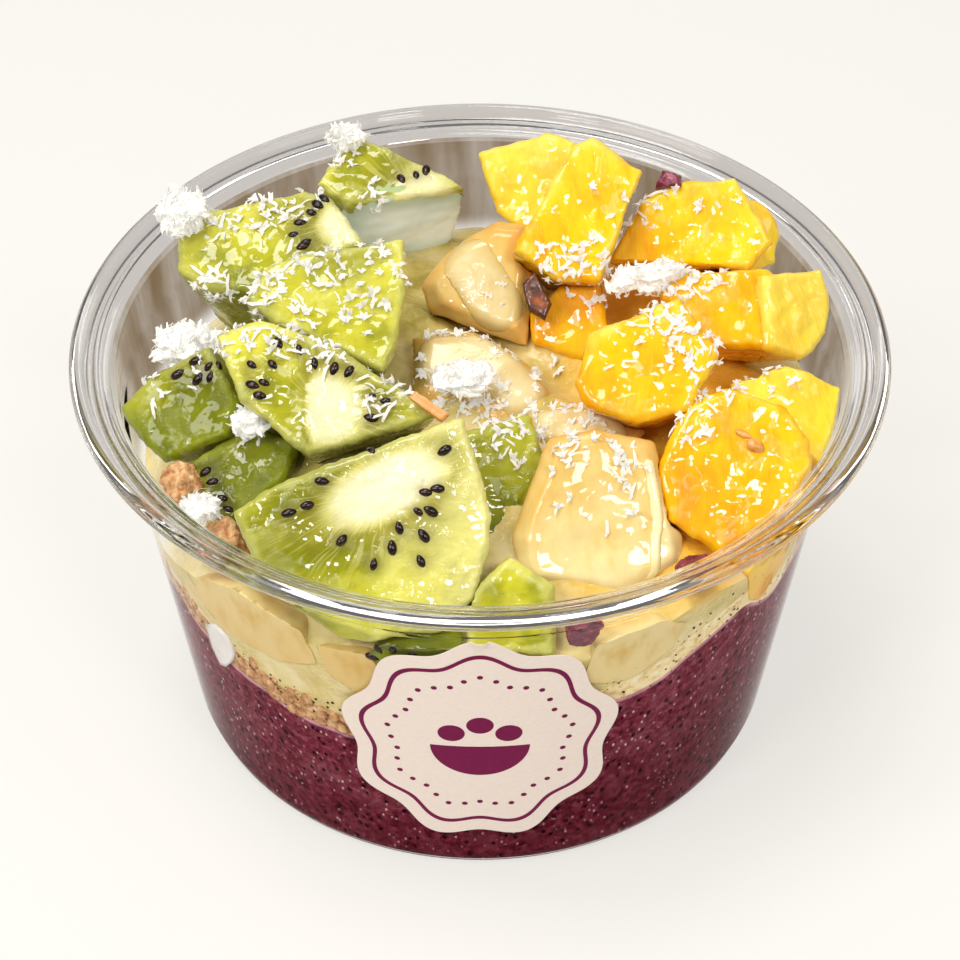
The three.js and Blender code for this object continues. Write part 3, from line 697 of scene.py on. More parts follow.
# %% Table of kiwi hearts
Heart = namedtuple("Heart", "core lean ring seeds")
HEARTS = {
    "kiwi_front": Heart((1.0, 7.0), (62, 22), 6.9, [
        (-5.4, 11.1), (-7.6, 8.3), (-9.7, 5.2), (-12.3, 4.3), (8.9, 11.4), (7.7, 6.4), (6.7, 3.4), (4.9, 3.5),
        (2.3, 1.4), (5.5, 0.2), (-5.4, 0.3), (1.2, -1.1), (-1.4, -3.2), (4.9, -3.2), (-0.8, 12.1), (6, 6)]),
    "kiwi_core": Heart((3.8, -4), (25, -30), 8.8, [
        (-3.7, 4.7), (-0.6, 4), (1.8, 2.4), (-4, 1.5), (4.6, 1.9), (6.7, 1.8), (-6.9, 1.1), (-6.4, -1.7),
        (-4.8, -1.2), (-5.1, -3.1), (10.3, -1.5), (12.4, -1.8), (10.8, -4.4)]),
    "kiwi_left_back": Heart((10.2, 6.3), (15, 200), 6.5, [
        (3.3, 2.5), (5.5, 1.7), (5.3, 1), (5.1, 8), (4.7, 6.6), (5.6, 9.3), (3.5, 4.6)]),
    "kiwi_back": Heart((7.7, -8.5), (60, 270), 8, [(4, -1.3), (6.3, -0.7), (7.8, 0.1)]),
    "kiwi_left": Heart((3.8, 10.8), (20, 90), 5, [
        (0.2, 7.2), (-1.6, 4.6), (1.6, 4.9), (3.3, 5.8), (3.5, 7.9), (2.5, 7.1)]),
    "kiwi_left_low": Heart((-6, -4), (30, 180), 5, [(1.4, -5.2), (0.1, -3.9), (-2.1, -2), (-3.6, -0.9)]),
    "kiwi_wall": Heart((-3.5, 0), (0, 0), 4, [(-5, 2.5), (-6, 0.5), (-3, 3), (-0.5, 2.5), (0.5, 0.5)]),
    "kiwi_slab": Heart((4, -34), (0, 0), 11, []),
    "kiwi_small": Heart((-20, -6), (0, 0), 9, []),
    "kiwi_centre": Heart((-22, 4), (0, 0), 9, []),
}
# The heart of this piece is sliced off on its left, which pulls the flesh closer there.
SLICED, SLICED_SIDE, SLICED_PULL = "kiwi_core", np.array([-0.82, -0.57]), 1.6
print("kiwi seeds:", sum(len(heart.seeds) for heart in HEARTS.values()))

# %% Place in the fruit
def fruit_axes(heart):
    """The fruit's two cross directions and its length, in the cut face's right, up and out."""
    tilt, turn = (math.radians(angle) for angle in heart.lean)
    along = Vector((math.sin(tilt) * math.cos(turn), math.sin(tilt) * math.sin(turn), math.cos(tilt)))
    side = Vector((-math.sin(turn), math.cos(turn), 0))
    return Matrix((side.cross(along), side, along))


def set_grain(mesh, vectors):
    grain = mesh.attributes.new("grain", "FLOAT_VECTOR", "POINT")
    grain.data.foreach_set("vector", np.asarray(vectors, np.float32).ravel())


def on_face(cut, points):
    """Points of the bowl, in metres, as right, up and out of a cut face, in mm."""
    back = np.array(face_place(cut).inverted())
    return points / MM @ back[:3, :3].T + back[:3, 3]


print("fruit axes ready")

# %% [markdown]
# Some flesh lies in deeper shade and some is lit more brightly or lets the light through, so each piece also
# carries a painted shade and a paleness; the paleness is painted light on kiwi and pineapple and a milkier
# cream on banana. Both are given as an amount in the middle of the face, its change over 10 mm to the
# right and its change over 10 mm up. A third attribute marks the sharp edges.

# %% Table of shades
SHADES = {
    "kiwi_left": (0.95, 0.4, -0.5), "kiwi_left_low": (1.0, 0.2, -0.2), "kiwi_wall": (0.8, 0, 0),
    "kiwi_centre": (0.75, 0, -0.3), "kiwi_small": (0.1, 0, 0), "kiwi_core": (0.15, 0, -0.2),
    "kiwi_left_back": (0.35, 0.1, -0.3), "kiwi_slab": (0.22, -0.1, -0.1), "kiwi_front": (0.1, -0.15, 0),
    "kiwi_back": (0.15, 0.1, 0), "pineapple_front": (0.75, -0.25, -0.35), "pineapple_low": (0.9, 0, 0),
    "pineapple_upper": (0.75, -0.1, -0.2), "pineapple_middle": (0.6, 0, -0.4), "pineapple_wall": (0.2, 0, 0),
    "pineapple_tall": (0.2, 0, -0.2), "pineapple_back": (0.15, -0.15, -0.1), "banana_back": (0.45, 0, 0.2),
    "banana_middle": (0.3, 0, 0), "banana_left": (0.1, 0, 0), "banana_low": (0.2, 0, 0),
    "banana_right": (0.4, 0, 0), "banana_front": (0.15, 0, 0.3),
}
# Paleness: painted light on kiwi and pineapple, where flesh is lit more brightly or lets light through; a
# milkier cream on banana.
PALES = {
    "kiwi_front": (0.15, 0.6, 0), "kiwi_slab": (0.05, 0.1, 0.1), "kiwi_left_back": (0, -0.2, 0.1),
    "pineapple_back_left": (0.5, 0, 0.3), "pineapple_right": (0.65, 0.2, 0.3),
    "pineapple_right_low": (0.3, 0, 0.2), "pineapple_tall": (0.05, 0, 0.2), "pineapple_back": (0.1, 0.1, 0.2),
    "pineapple_back_right": (0.3, 0, 0.2), "banana_front": (0.28, 0.1, -0.5),
    "banana_left": (0.6, -0.15, 0.3), "banana_low": (0.5, 0, 0), "banana_foot": (1, 0, 0),
}
DEPTH_SHADE, DARK_AT = 0.7, 0.7
SHARP_BEND, BEHIND_WALL_EDGE = 0.06, 0.15
SLOPE_SPAN = 10
print("shaded pieces:", len(SHADES), "pale pieces:", len(PALES))

# %% Attributes of the flesh
def tint_over(amounts, name, spots):
    middle, right, up = amounts.get(name, (0, 0, 0))
    return middle + right * spots[:, 0] / SLOPE_SPAN + up * spots[:, 1] / SLOPE_SPAN


def set_value(mesh, name, values):
    attribute = mesh.attributes.new(name, "FLOAT", "POINT")
    attribute.data.foreach_set("value", np.asarray(values, np.float32))


def edge_of(mesh, voxel, passes=6):
    """1 along the piece's sharp edges, 0 on flat faces and below 0 in creases."""
    points = points_of(mesh)
    normals = np.empty(len(points) * 3)
    mesh.vertices.foreach_get("normal", normals)
    pairs = np.empty(len(mesh.edges) * 2, int)
    mesh.edges.foreach_get("vertices", pairs)
    one, two = pairs.reshape(-1, 2).T
    count = np.bincount(pairs, minlength=len(points))[:, None]

    def beside(values):
        total = np.zeros_like(values)
        np.add.at(total, one, values[two])
        np.add.at(total, two, values[one])
        return total / count

    bend = ((points - beside(points)) * normals.reshape(-1, 3)).sum(1, keepdims=True)
    for _ in range(passes):
        bend = beside(bend)
    return np.clip(bend[:, 0] / (SHARP_BEND * voxel * MM), -1, 1)


for cut in CUTS:
    mesh = soft[cut.name]
    spots = on_face(cut, points_of(mesh))
    low = np.clip(-spots[:, 2] / (DARK_AT * cut.depth), 0, 1)
    # Painted shade: it deepens down the piece's sides, away from the cut face.
    shade = tint_over(SHADES, cut.name, spots) + DEPTH_SHADE * low
    set_value(mesh, "shade", np.clip(shade, 0, 1))
    set_value(mesh, "pale", np.clip(tint_over(PALES, cut.name, spots), 0, 1))
    edge = edge_of(mesh, SKINS[kind_of(cut)].voxel)
    set_value(mesh, "edge", edge * (1 if cut.face[1] else BEHIND_WALL_EDGE))
    if kind_of(cut) == "kiwi":
        heart = HEARTS[cut.name]
        spots = (spots - (*heart.core, 0)) @ np.array(fruit_axes(heart)).T / heart.ring
        if cut.name == SLICED:
            past = np.maximum(spots[:, :2] @ SLICED_SIDE, 0)
            spots[:, :2] += SLICED_PULL * past[:, None] * SLICED_SIDE
    set_grain(mesh, spots)
print("grain on", len(soft), "pieces")

# %% Halo of the seeds
HALO = 1.5
NO_SEED = (0, 0, -1000)
for cut in CUTS:
    if kind_of(cut) == "kiwi":
        spots = on_face(cut, points_of(soft[cut.name]))
        seeds_here = np.array([(*seed, 0) for seed in HEARTS[cut.name].seeds] or [NO_SEED])
        nearest = np.min([np.linalg.norm(spots - seed, axis=1) for seed in seeds_here], axis=0)
        set_value(soft[cut.name], "halo", np.exp(-(nearest / HALO) ** 2))
print("kiwi pieces with seeds:", sum(bool(heart.seeds) for heart in HEARTS.values()))

# %% Kiwi flesh
DARK_KIWI = (0.33, 0.39, 0.02, 1)
RING_SPAN = 3.0


def dress_cuts(kind, finish):
    """Turns the soft skins of one kind of fruit into finished pieces."""
    cuts = [cut for cut in CUTS if kind_of(cut) == kind]
    for cut in cuts:
        new_piece("cut_" + cut.name, soft[cut.name], finish, kind, cut.name)
    print(kind, "pieces:", len(cuts))


kiwi = Finish("kiwi_flesh", Roughness=0.5, Specular_IOR_Level=0.05, Coat_Weight=1.0, Coat_Roughness=0.07)
fruit = kiwi.attribute("grain")
parts = kiwi.node("SeparateXYZ", {0: fruit})
flat = kiwi.node("CombineXYZ", {0: parts.outputs[0], 1: parts.outputs[1]}).outputs[0]
radius = kiwi.node("VectorMath", {0: flat}, operation="LENGTH").outputs["Value"]
heading = kiwi.node("VectorMath", {0: flat}, operation="NORMALIZE").outputs[0]
slow = kiwi.node("CombineXYZ", {2: kiwi.times(parts.outputs[2], 0.3)}).outputs[0]
ray_place = kiwi.node("VectorMath", {0: heading, 1: slow}, operation="ADD").outputs[0]
rays = kiwi.noise(kiwi.stretch(ray_place, (0.05, 0.05, 0.3)), 2.0)
wobble = kiwi.sums("MULTIPLY_ADD", rays, 0.5)
wobble.node.inputs[2].default_value = 0.75
uneven_radius = kiwi.times(radius, wobble)
flesh = kiwi.ramp(
    kiwi.sums("DIVIDE", uneven_radius, RING_SPAN),
    (0.00, (246, 240, 210)), (0.15, (242, 235, 190)), (0.20, (220, 211, 126)),
    (0.24, (158, 150, 40)), (0.33, (138, 135, 8)), (0.46, (172, 168, 14)),
    (0.66, (196, 190, 32)), (0.95, (210, 203, 48)))
patches = kiwi.clouds(8)
deep = kiwi.wash(flesh, kiwi.between(patches, 0.46, 0.66), 0.75, (136, 138, 0))
deep = kiwi.wash(deep, kiwi.between(patches, 0.5, 0.25), 0.7, (228, 222, 96))
# Painted light: flesh that is lit more brightly or lets light through is washed paler.
deep = kiwi.wash(deep, kiwi.level("pale"), 0.85, (232, 223, 138))
flesh = kiwi.blend(kiwi.between(radius, 0.5, 0.95), flesh, deep)
pale_rays = kiwi.times(kiwi.between(rays, 0.54, 0.7), kiwi.between(radius, 1.7, 0.5))
flesh = kiwi.wash(flesh, pale_rays, 0.6, (236, 228, 158))
flesh = kiwi.wash(flesh, kiwi.level("halo"), 0.6, (104, 92, 30))
# Painted light: sharp edges are washed paler, for light shining through the thin flesh there.
flesh = kiwi.wash(flesh, kiwi.between(kiwi.level("edge"), 0.15, 0.8), 0.4, (224, 220, 138))
# Painted shade: the flesh darkens towards olive where the piece lies in shade and down its sides.
kiwi.colour(kiwi.darken(kiwi.level("shade"), flesh, DARK_KIWI))
kiwi.relief(kiwi.bump(kiwi.clouds(0.9, 4.0, 0.6), 0.2 * MM))
kiwi.sparkle(0.7, 0.75, 0.48, 0.66)
dress_cuts("kiwi", kiwi)

# %% [markdown]
# Kiwi seeds are glossy dark drops about 2 mm long that point at the heart. They lie where the knife met
# the ring, so each is dropped onto the cut face and turned towards the heart.

# %% Kiwi seeds
SEED_HALF = Vector((1.05, 0.62, 0.5))
SEED_SINK, SEED_POINT = 0.12, 0.3
DROP_FROM = 6
draw = random.Random(5)
seed_finish = mottled("seed_coat", 1.2, (0.3, (8, 4, 3)), (0.75, (48, 20, 10)), Roughness=0.25,
                      Specular_IOR_Level=0.2, Coat_Weight=0.4, Coat_Roughness=0.03)


def surface_of(mesh):
    form = bmesh.new()
    form.from_mesh(mesh)
    tree = BVHTree.FromBMesh(form)
    form.free()
    return tree


def drop_on(surface, place, right, up):
    """Where a point over a cut face lands on the soft skin, and the normal there."""
    out = place.to_3x3() @ Vector((0, 0, 1))
    return surface.ray_cast(place @ Vector((right, up, DROP_FROM)) * MM, -out)[:2]


seeds = bmesh.new()
for name, heart in HEARTS.items():
    place = face_place(cut_named[name])
    surface = surface_of(soft[name])
    for right, up in heart.seeds:
        hit, normal = drop_on(surface, place, right, up)
        if hit is None:
            continue
        inward = place.to_3x3() @ Vector((heart.core[0] - right, heart.core[1] - up, 0))
        side = normal.cross(inward).normalized()
        turn = Matrix((side.cross(normal), side, normal)).transposed()
        size = draw.uniform(0.85, 1.15) * MM
        stretch = Matrix.Diagonal(SEED_HALF * size).to_4x4()
        spot = Matrix.Translation(hit - normal * SEED_SINK * MM) @ turn.to_4x4() @ stretch
        seed = bmesh.ops.create_icosphere(seeds, subdivisions=2, radius=1.0)["verts"]
        for vert in seed:
            vert.co.yz *= 1 - SEED_POINT * max(vert.co.x, 0)
            vert.co = spot @ vert.co
seed_mesh = mesh_of(seeds, "kiwi_seeds")
new_piece("kiwi_seeds", seed_mesh, seed_finish, "kiwi")
print("seed faces:", len(seed_mesh.polygons))

# %% [markdown]
# ## Pineapple
# Pineapple flesh is wet, bright yellow and full of fibres that run from the core to the skin. The fibres
# are noise that is stretched along the cut face. Painted shade turns the flesh more orange on shaded
# pieces and down their sides, and painted light makes lit flesh and thin edges paler.

# %% Pineapple flesh
DARK_PINEAPPLE = (0.96, 0.69, 0.02, 1)
pineapple = Finish("pineapple_flesh", Roughness=0.5, Specular_IOR_Level=0.05, Coat_Weight=1.0,
                   Coat_Roughness=0.07)
grain = pineapple.attribute("grain")
fibre = pineapple.noise(pineapple.stretch(grain, (1.0, 5.0, 1.6)), 3.0, 0.6)
cloudy = pineapple.noise(pineapple.stretch(grain, (5.0, 9.0, 5.0)), 3.0)
tone = pineapple.ramp(cloudy, (0.32, (242, 174, 0)), (0.46, (246, 194, 0)), (0.58, (248, 208, 0)),
                      (0.7, (248, 216, 24)))
tone = pineapple.wash(tone, pineapple.between(fibre, 0.53, 0.7), 0.45, (250, 216, 36))
# Painted light: lit or translucent flesh is blended towards pale lemon.
tone = pineapple.blend(pineapple.level("pale"), tone, seen(244, 216, 84))
# Painted light: sharp edges turn paler, for light shining through the thin flesh there.
painted_edge_light = pineapple.between(pineapple.level("edge"), 0.1, 1.0)
painted_edge_light = pineapple.times(painted_edge_light, pineapple.between(cloudy, 0.35, 0.65))
tone = pineapple.wash(tone, painted_edge_light, 0.6, (248, 222, 96))
# Painted shade: the flesh darkens to orange where the piece lies in shade and down its sides.
pineapple.colour(pineapple.darken(pineapple.level("shade"), tone, DARK_PINEAPPLE))
pineapple.relief(pineapple.bump(fibre, 0.25 * MM))
pineapple.sparkle(0.9, 1.0, 0.52, 0.66)
dress_cuts("pineapple", pineapple)

# %% [markdown]
# ## Glazed banana
# The banana pieces are coated in sweet milk, so they are smooth, pale and very glossy.

# %% Banana
DARK_BANANA = (0.9, 0.7, 0.36, 1)
banana = Finish("glazed_banana", Roughness=0.4, Specular_IOR_Level=0.1, Coat_Weight=0.6, Coat_Roughness=0.03)
grain = banana.attribute("grain")
streaks = banana.noise(banana.stretch(grain, (4.0, 7.0, 4.0)), 3.0)
tone = banana.ramp(streaks, (0.3, (232, 208, 142)), (0.55, (226, 195, 118)), (0.8, (218, 179, 89)))
tone = banana.wash(tone, banana.between(banana.level("edge"), 0.2, 0.9), 0.4, (224, 164, 70))
milky = banana.times(banana.level("pale"), banana.between(streaks, 0.85, 0.4))
tone = banana.blend(milky, tone, seen(238, 221, 163))
# Painted shade: the banana darkens to tan where the piece lies in shade and down its sides.
banana.colour(banana.darken(banana.level("shade"), tone, DARK_BANANA))
banana.relief(banana.bump(banana.clouds(2.2, 2.0), 0.12 * MM))
banana.sparkle(2.6, 0.5, 0.56, 0.75)
dress_cuts("banana", banana)

# %% [markdown]
# The milk also lies as a film on its own: over the front of the back kiwi, in runs down the front banana
# and in pools between the pieces. A film is the skin of the fruit below it, lifted along its path and
# thinning to nothing at its edge.

# %% Film shapes
Film = namedtuple("Film", "on path wide thick")
FILMS = [
    Film("kiwi_back", [(2, -6, -8), (9, -5, -9)], 9, 0.4),
    Film("banana_front", [(6.5, 6.5, 0), (7.1, -1.1, 0), (5.8, -11.5, 0)], 1.4, 0.5),
    Film("banana_back", [(-2, 2, 0), (3, -4, 0)], 4.5, 0.5),
    Film("banana_middle", [(-6, 2, 0), (0, 3, 0), (6, -3, 0)], 4.5, 0.7),
    Film("banana_right", [(-4, 0, 0), (4, -1, 0)], 3.5, 0.6),
]
FILM_BED, FILM_EASE, FILM_SINK = 0.3, 8, 0.05
PATH_STEPS = 12
ALL_AXES = dict(use_axis_x=True, use_axis_y=True, use_axis_z=True)
PAINTED_GLOW_TINT = (0.8, 0.95, 1.0, 1)


def thickened(form, name, thick):
    """A closed mesh from a sheet."""
    bmesh.ops.solidify(form, geom=form.faces[:], thickness=thick * MM)
    bmesh.ops.recalc_face_normals(form, faces=form.faces)
    return mesh_of(form, name)


def film_over(film):
    """The skin of the fruit along a path, lifted most in its middle."""
    form = bmesh.new()
    form.from_mesh(soft[film.on])
    fade = form.verts.layers.float.new("fade")
    form.normal_update()
    place = face_place(cut_named[film.on])
    corners = [place @ Vector(corner) * MM for corner in film.path]
    spots = [a.lerp(b, i / PATH_STEPS) for a, b in zip(corners, corners[1:]) for i in range(PATH_STEPS + 1)]
    off = {v: min((v.co - spot).length for spot in spots) / (film.wide * MM) for v in form.verts}
    bmesh.ops.delete(form, geom=[v for v in form.verts if off[v] > 1], context="VERTS")
    for _ in range(FILM_EASE):
        bmesh.ops.smooth_vert(form, verts=form.verts, factor=0.5, **ALL_AXES)
    form.normal_update()
    for vert in form.verts:
        vert[fade] = off[vert]
        vert.co += vert.normal * MM * (film.thick * (1 - off[vert] ** 2) - FILM_SINK)
    return thickened(form, "film", FILM_BED)


print("films:", len(FILMS))

# %% Milk on the pieces
def milk(name, thin, thick, rim_tone, painted_glow=0.0):
    """A milky film, with its tones where it is thin and thick, the tone that it fades to and a painted glow
    that stands in for light passing through it.
    """
    made = Finish(name, Roughness=0.25, Specular_IOR_Level=0.3, Coat_Weight=0.6, Coat_Roughness=0.03,
                  Emission_Color=PAINTED_GLOW_TINT, Emission_Strength=painted_glow)
    body = made.ramp(made.clouds(5), (0.35, thin), (0.65, thick))
    made.colour(made.blend(made.between(made.level("fade"), 0.35, 0.95), body, seen(*rim_tone)))
    made.sparkle(2.6, 0.7, 0.52, 0.7)
    return made


FILM_TONES = {
    # The white milk on the back kiwi glows faintly: painted light, standing in for light passing through the
    # film where it lies in shade.
    "kiwi_back": milk("white_milk", (224, 238, 240), (246, 252, 250), (150, 166, 96), 0.14),
    "banana_front": milk("pale_milk", (238, 216, 150), (246, 232, 184), (232, 206, 136)),
}
milk_film = milk("milk_film", (214, 189, 124), (228, 209, 156), (206, 175, 102))
run_milk = milk("run_of_milk", (226, 218, 214), (238, 232, 226), (222, 210, 206))
film_faces = 0
for film in FILMS:
    film_mesh = joined("milk_on_" + film.on, [film_over(film)])
    new_piece(film_mesh.name, film_mesh, FILM_TONES.get(film.on, milk_film), "banana")
    film_faces += len(film_mesh.polygons)
print("film faces:", film_faces)

# %% [markdown]
# ## Dried fruit, nuts and clusters
# Small dark red bits, an almond sliver, a roasted nut and two oat clusters fill the gaps.

# %% Small bits
SLIVER_ACROSS, SLIVER_LINES = (0.59, 0.81, 0.5), 2.2
dried = mottled("dried_fruit_skin", 1.2, (0.3, (74, 12, 34)), (0.55, (128, 34, 62)), (0.75, (186, 92, 110)),
                detail=4.0, relief=0.4, Roughness=0.35, Coat_Weight=0.4, Coat_Roughness=0.15)
dark_roast = mottled("dark_roasted_nut", 1.6, (0.35, (34, 16, 8)), (0.6, (110, 52, 16)), (0.8, (170, 92, 36)),
                     Roughness=0.3, Coat_Weight=0.5, Coat_Roughness=0.12)
oats = mottled("oat_cluster", 1.3, (0.3, (142, 86, 44)), (0.5, (206, 152, 96)), (0.7, (236, 200, 150)),
               detail=5.0, rough=0.6, relief=0.5, Roughness=0.6, Coat_Weight=0.15, Coat_Roughness=0.3)
husk = mottled("tan_husk", 1.5, (0.3, (196, 122, 44)), (0.5, (226, 160, 72)), (0.7, (236, 190, 120)),
               Roughness=0.35, Coat_Weight=0.4, Coat_Roughness=0.1)
roast = Finish("roasted_nut", Roughness=0.4, Coat_Weight=0.3, Coat_Roughness=0.2)
across = roast.node("VectorMath", {0: roast.attribute("grain"), 1: SLIVER_ACROSS}, operation="DOT_PRODUCT")
lines = roast.node("CombineXYZ", {0: roast.times(across.outputs["Value"], SLIVER_LINES)})
streak = roast.noise(lines.outputs[0], 2.0)
roast.colour(roast.ramp(streak, (0.35, (176, 108, 50)), (0.48, (224, 158, 88)), (0.65, (240, 186, 118))))
roast.relief(roast.bump(streak, 0.05 * MM))
SMALL_BITS = {"dried_fruit": dried, "nut": roast, "granola": oats}
for cut in CUTS:
    if kind_of(cut) in SMALL_BITS:
        finish = dark_roast if cut.name == "nut_dark" else SMALL_BITS[kind_of(cut)]
        new_piece("bit_" + cut.name, soft[cut.name], finish, kind_of(cut), cut.name)
print("small bits placed")

# %% [markdown]
# On the front pineapple sits a small tan seed with a sliver beside it. Each is given by its place on the
# face, its half sizes and its turn.

# %% Seed on the front pineapple
HUSKS = [((3.0, 1.5), (1.5, 0.95, 0.8), -32), ((1.5, 3.3), (1.35, 0.5, 0.5), -28)]
HUSK_POINT, HUSK_DENTS = 0.35, 0.12
husks = bmesh.new()
face = face_place(cut_named["pineapple_front"])
surface = surface_of(soft["pineapple_front"])
for at, half, turn in HUSKS:
    hit = drop_on(surface, face, *at)[0]
    spot = Matrix.Translation(hit) @ face.to_3x3().to_4x4() @ Matrix.Rotation(math.radians(turn), 4, "Z")
    spot = spot @ Matrix.Diagonal(Vector(half) * MM).to_4x4()
    for vert in bmesh.ops.create_icosphere(husks, subdivisions=3, radius=1.0)["verts"]:
        vert.co.yz *= 1 - HUSK_POINT * max(vert.co.x, 0)
        vert.co = spot @ (vert.co * (1 + HUSK_DENTS * noise.noise(vert.co * 1.5)))
husk_mesh = mesh_of(husks, "seed_on_pineapple")
new_piece("seed_on_pineapple", husk_mesh, husk, "nut")
print("seed and sliver faces:", len(husk_mesh.polygons))

# %% [markdown]
# ## Layers behind the wall
# Acai, granola and banana lie in layers, and each top edge wanders up and down round the wall. The layers
# are made as skins over rings, and they reach just into the plastic, so that no film of air shows between
# them.

# %% Layer heights
ACAI_LEVEL = [(-150, 38), (-66, 35), (-46, 31), (-25, 28), (0, 32), (25, 36.5), (46, 43.5), (57, 39.5),
              (66, 42), (120, 42)]
ACAI_MIDDLE, GRANOLA_DEPTH = 44, 4
BED_LEVEL = [(-150, 46), (-66, 43), (-48, 47), (-20, 47), (20, 48), (38, 52), (50, 50), (66, 47), (120, 46)]
BED_MIDDLE, BED_FLATNESS, BED_SINK, BED_LUMPS, BED_REACH = 60, 3, 3, 1.1, 50
LAYER_SIDES, LAYER_RINGS, WALL_STEP = 240, 40, 0.8
LAP = 0.3
ACAI_PROUD, GRANOLA_PROUD = 0.08, 0.04


def height_round(pairs, azimuth):
    angles = np.array([pairs[-1][0] - 360] + [p[0] for p in pairs] + [pairs[0][0] + 360], float)
    heights = np.array([pairs[-1][1]] + [p[1] for p in pairs] + [pairs[0][1]], float)
    at = np.clip(np.searchsorted(angles, azimuth, side="right"), 1, len(angles) - 1)
    share = (azimuth - angles[at - 1]) / (angles[at] - angles[at - 1])
    ease = share * share * (3 - 2 * share)
    return heights[at - 1] + (heights[at] - heights[at - 1]) * ease


def wavy(azimuth, size):
    """Small ups and downs round the wall."""
    turn = np.radians(azimuth)
    waves = np.sin(13 * turn + 1) + 0.7 * np.sin(29 * turn + 2.2) + 0.5 * np.sin(53 * turn + 0.6)
    return size * waves / 2.2


def acai_top(share, azimuth):
    edge = height_round(ACAI_LEVEL, azimuth) + wavy(azimuth, 0.5)
    return ACAI_MIDDLE + (edge - ACAI_MIDDLE) * share ** 2


def granola_top(share, azimuth):
    turn = np.radians(azimuth)
    lumps = 0.7 * np.sin(9 * turn) * np.cos(7 * share + 4 * turn)
    return acai_top(share, azimuth) + GRANOLA_DEPTH + lumps


def bed_top(share, azimuth):
    """The banana bed; between the pieces it sinks a little and heaves in soft lumps."""
    level = np.maximum(height_round(BED_LEVEL, azimuth), granola_top(1, azimuth) + 2)
    turn = np.radians(azimuth)
    across, along = BED_REACH * share * np.sin(turn), -BED_REACH * share * np.cos(turn)
    lumps = np.sin(across / 3.1 + 1) * np.cos(along / 3.7) + 0.6 * np.sin((across + along) / 2.1)
    slope = BED_MIDDLE - BED_SINK * (1 - share) + (level - BED_MIDDLE) * share ** BED_FLATNESS
    return slope + BED_LUMPS * lumps * (1 - share ** 4)


print("acai rises to", max(height for _, height in ACAI_LEVEL), "mm at the wall")

# %% Layer meshes
around = -180 + np.arange(LAYER_SIDES) * 360 / LAYER_SIDES


def layer_ring(share, heights, proud=0.0):
    return polar(share * (inner_wall(np.minimum(heights, STEP_Z)) + LAYER_INTO_WALL + proud), around, heights)


def layer_rings(top):
    shares = np.linspace(1, 0, LAYER_RINGS)[:-1]
    middle = polar(0, np.zeros(1), top(0, np.zeros(1)))
    return [layer_ring(share, top(share, around)) for share in shares] + [middle]


def layer(name, bottom_rings, bottom_edge, top, proud=0.0):
    """A layer from its bottom, up the wall in steps and over its top; it may stand proud of the next."""
    top_edge = top(1, around)
    rise = top_edge - bottom_edge
    steps = int(np.ceil(rise.max() / WALL_STEP))
    wall = [layer_ring(1, bottom_edge + rise * i / steps, proud) for i in range(steps + 1)]
    return skin(name, [*bottom_rings, *wall, *layer_rings(top)])


def under(top):
    rings = layer_rings(lambda share, azimuth: top(share, azimuth) - LAP)
    return rings[:0:-1]


base_floor = [(0, PUSH_UP + WALL), (FOOT_INNER - 1.4, PUSH_UP + WALL), (FOOT_INNER + 0.5, WALL),
              (FOOT_OUTER, 0.55), (BASE_RADIUS - 0.6, 1.6)]
base_rings = [polar(r, around if r else np.zeros(1), z - 0.1) for r, z in base_floor]
acai_mesh = layer("acai_fill", base_rings, np.full(LAYER_SIDES, CORNER + 0.2), acai_top, ACAI_PROUD)
granola_mesh = layer("granola_layer", under(acai_top), acai_top(1, around) - LAP, granola_top, GRANOLA_PROUD)
bed_mesh = layer("banana_layer", under(granola_top), granola_top(1, around) - LAP, bed_top)


def set_depth(mesh, top):
    """How far each point lies under the layer's edge at the wall, in mm."""
    points = points_of(mesh)
    set_value(mesh, "depth", top(1, azimuth_of(points)) - points[:, 2] / MM)


set_depth(acai_mesh, acai_top)
print("layer faces:", len(acai_mesh.polygons), len(granola_mesh.polygons), len(bed_mesh.polygons))

# %% [markdown]
# Acai is a frozen purple pulp. Pressed on the wall it shows dark pits, pale frosty flecks and fine grain,
# and a brighter pink line along its top edge where it is thin.

# %% Acai
DARK_ACAI = (0.58, 0.36, 0.42, 1)
acai = Finish("acai_pulp", Roughness=0.6, Specular_IOR_Level=0.0)
spot_place = acai.place()
grainy = acai.noise(acai.stretch(spot_place, (1.1 * MM, 1.1 * MM, 1.3 * MM)), 4.0, 0.65)
pulp = acai.ramp(grainy, (0.34, (72, 8, 26)), (0.5, (116, 36, 54)), (0.66, (148, 72, 86)))
mottle = acai.clouds(7, 2.0)
pulp = acai.wash(pulp, acai.between(mottle, 0.45, 0.7), 0.3, (150, 88, 98))
frost = acai.spots(acai.stretch(spot_place, (0.95 * MM, 0.95 * MM, 1.7 * MM)))
speck = acai.times(acai.between(frost, 0.26, 0.1), acai.between(acai.clouds(2.5, 2.0), 0.38, 0.62))
pulp = acai.blend(speck, pulp, seen(234, 206, 208))
pits = acai.spots(acai.stretch(spot_place, (1.6 * MM, 1.6 * MM, 2.2 * MM)))
pulp = acai.blend(acai.between(pits, 0.3, 0.16), pulp, seen(40, 0, 14))
pulp = acai.darken(acai.between(acai.level("depth"), 2, 34), pulp, DARK_ACAI)
edge_line = acai.times(acai.between(acai.level("depth"), 1.0, 0.3), acai.between(mottle, 0.35, 0.55))
pulp = acai.wash(pulp, edge_line, 0.85, (226, 168, 180))
acai.colour(pulp)
acai.relief(acai.bump(grainy, 0.3 * MM))
new_piece("acai_fill", acai_mesh, acai, "acai", "acai")
print("acai faces:", len(acai_mesh.polygons))

# %% [markdown]
# The banana layer is pale at the wall, and between the pieces on top it takes on the colour of the fruit
# above it. The granola is soaked with milk on the right.

# %% Granola and banana layers
MILK_SOAKED = (-8, 66)


def window(azimuth, start, end, soft_edge=6):
    """1 between two azimuths, easing to 0 outside them."""
    return np.clip((azimuth - start) / soft_edge, 0, 1) * np.clip((end - azimuth) / soft_edge, 0, 1)


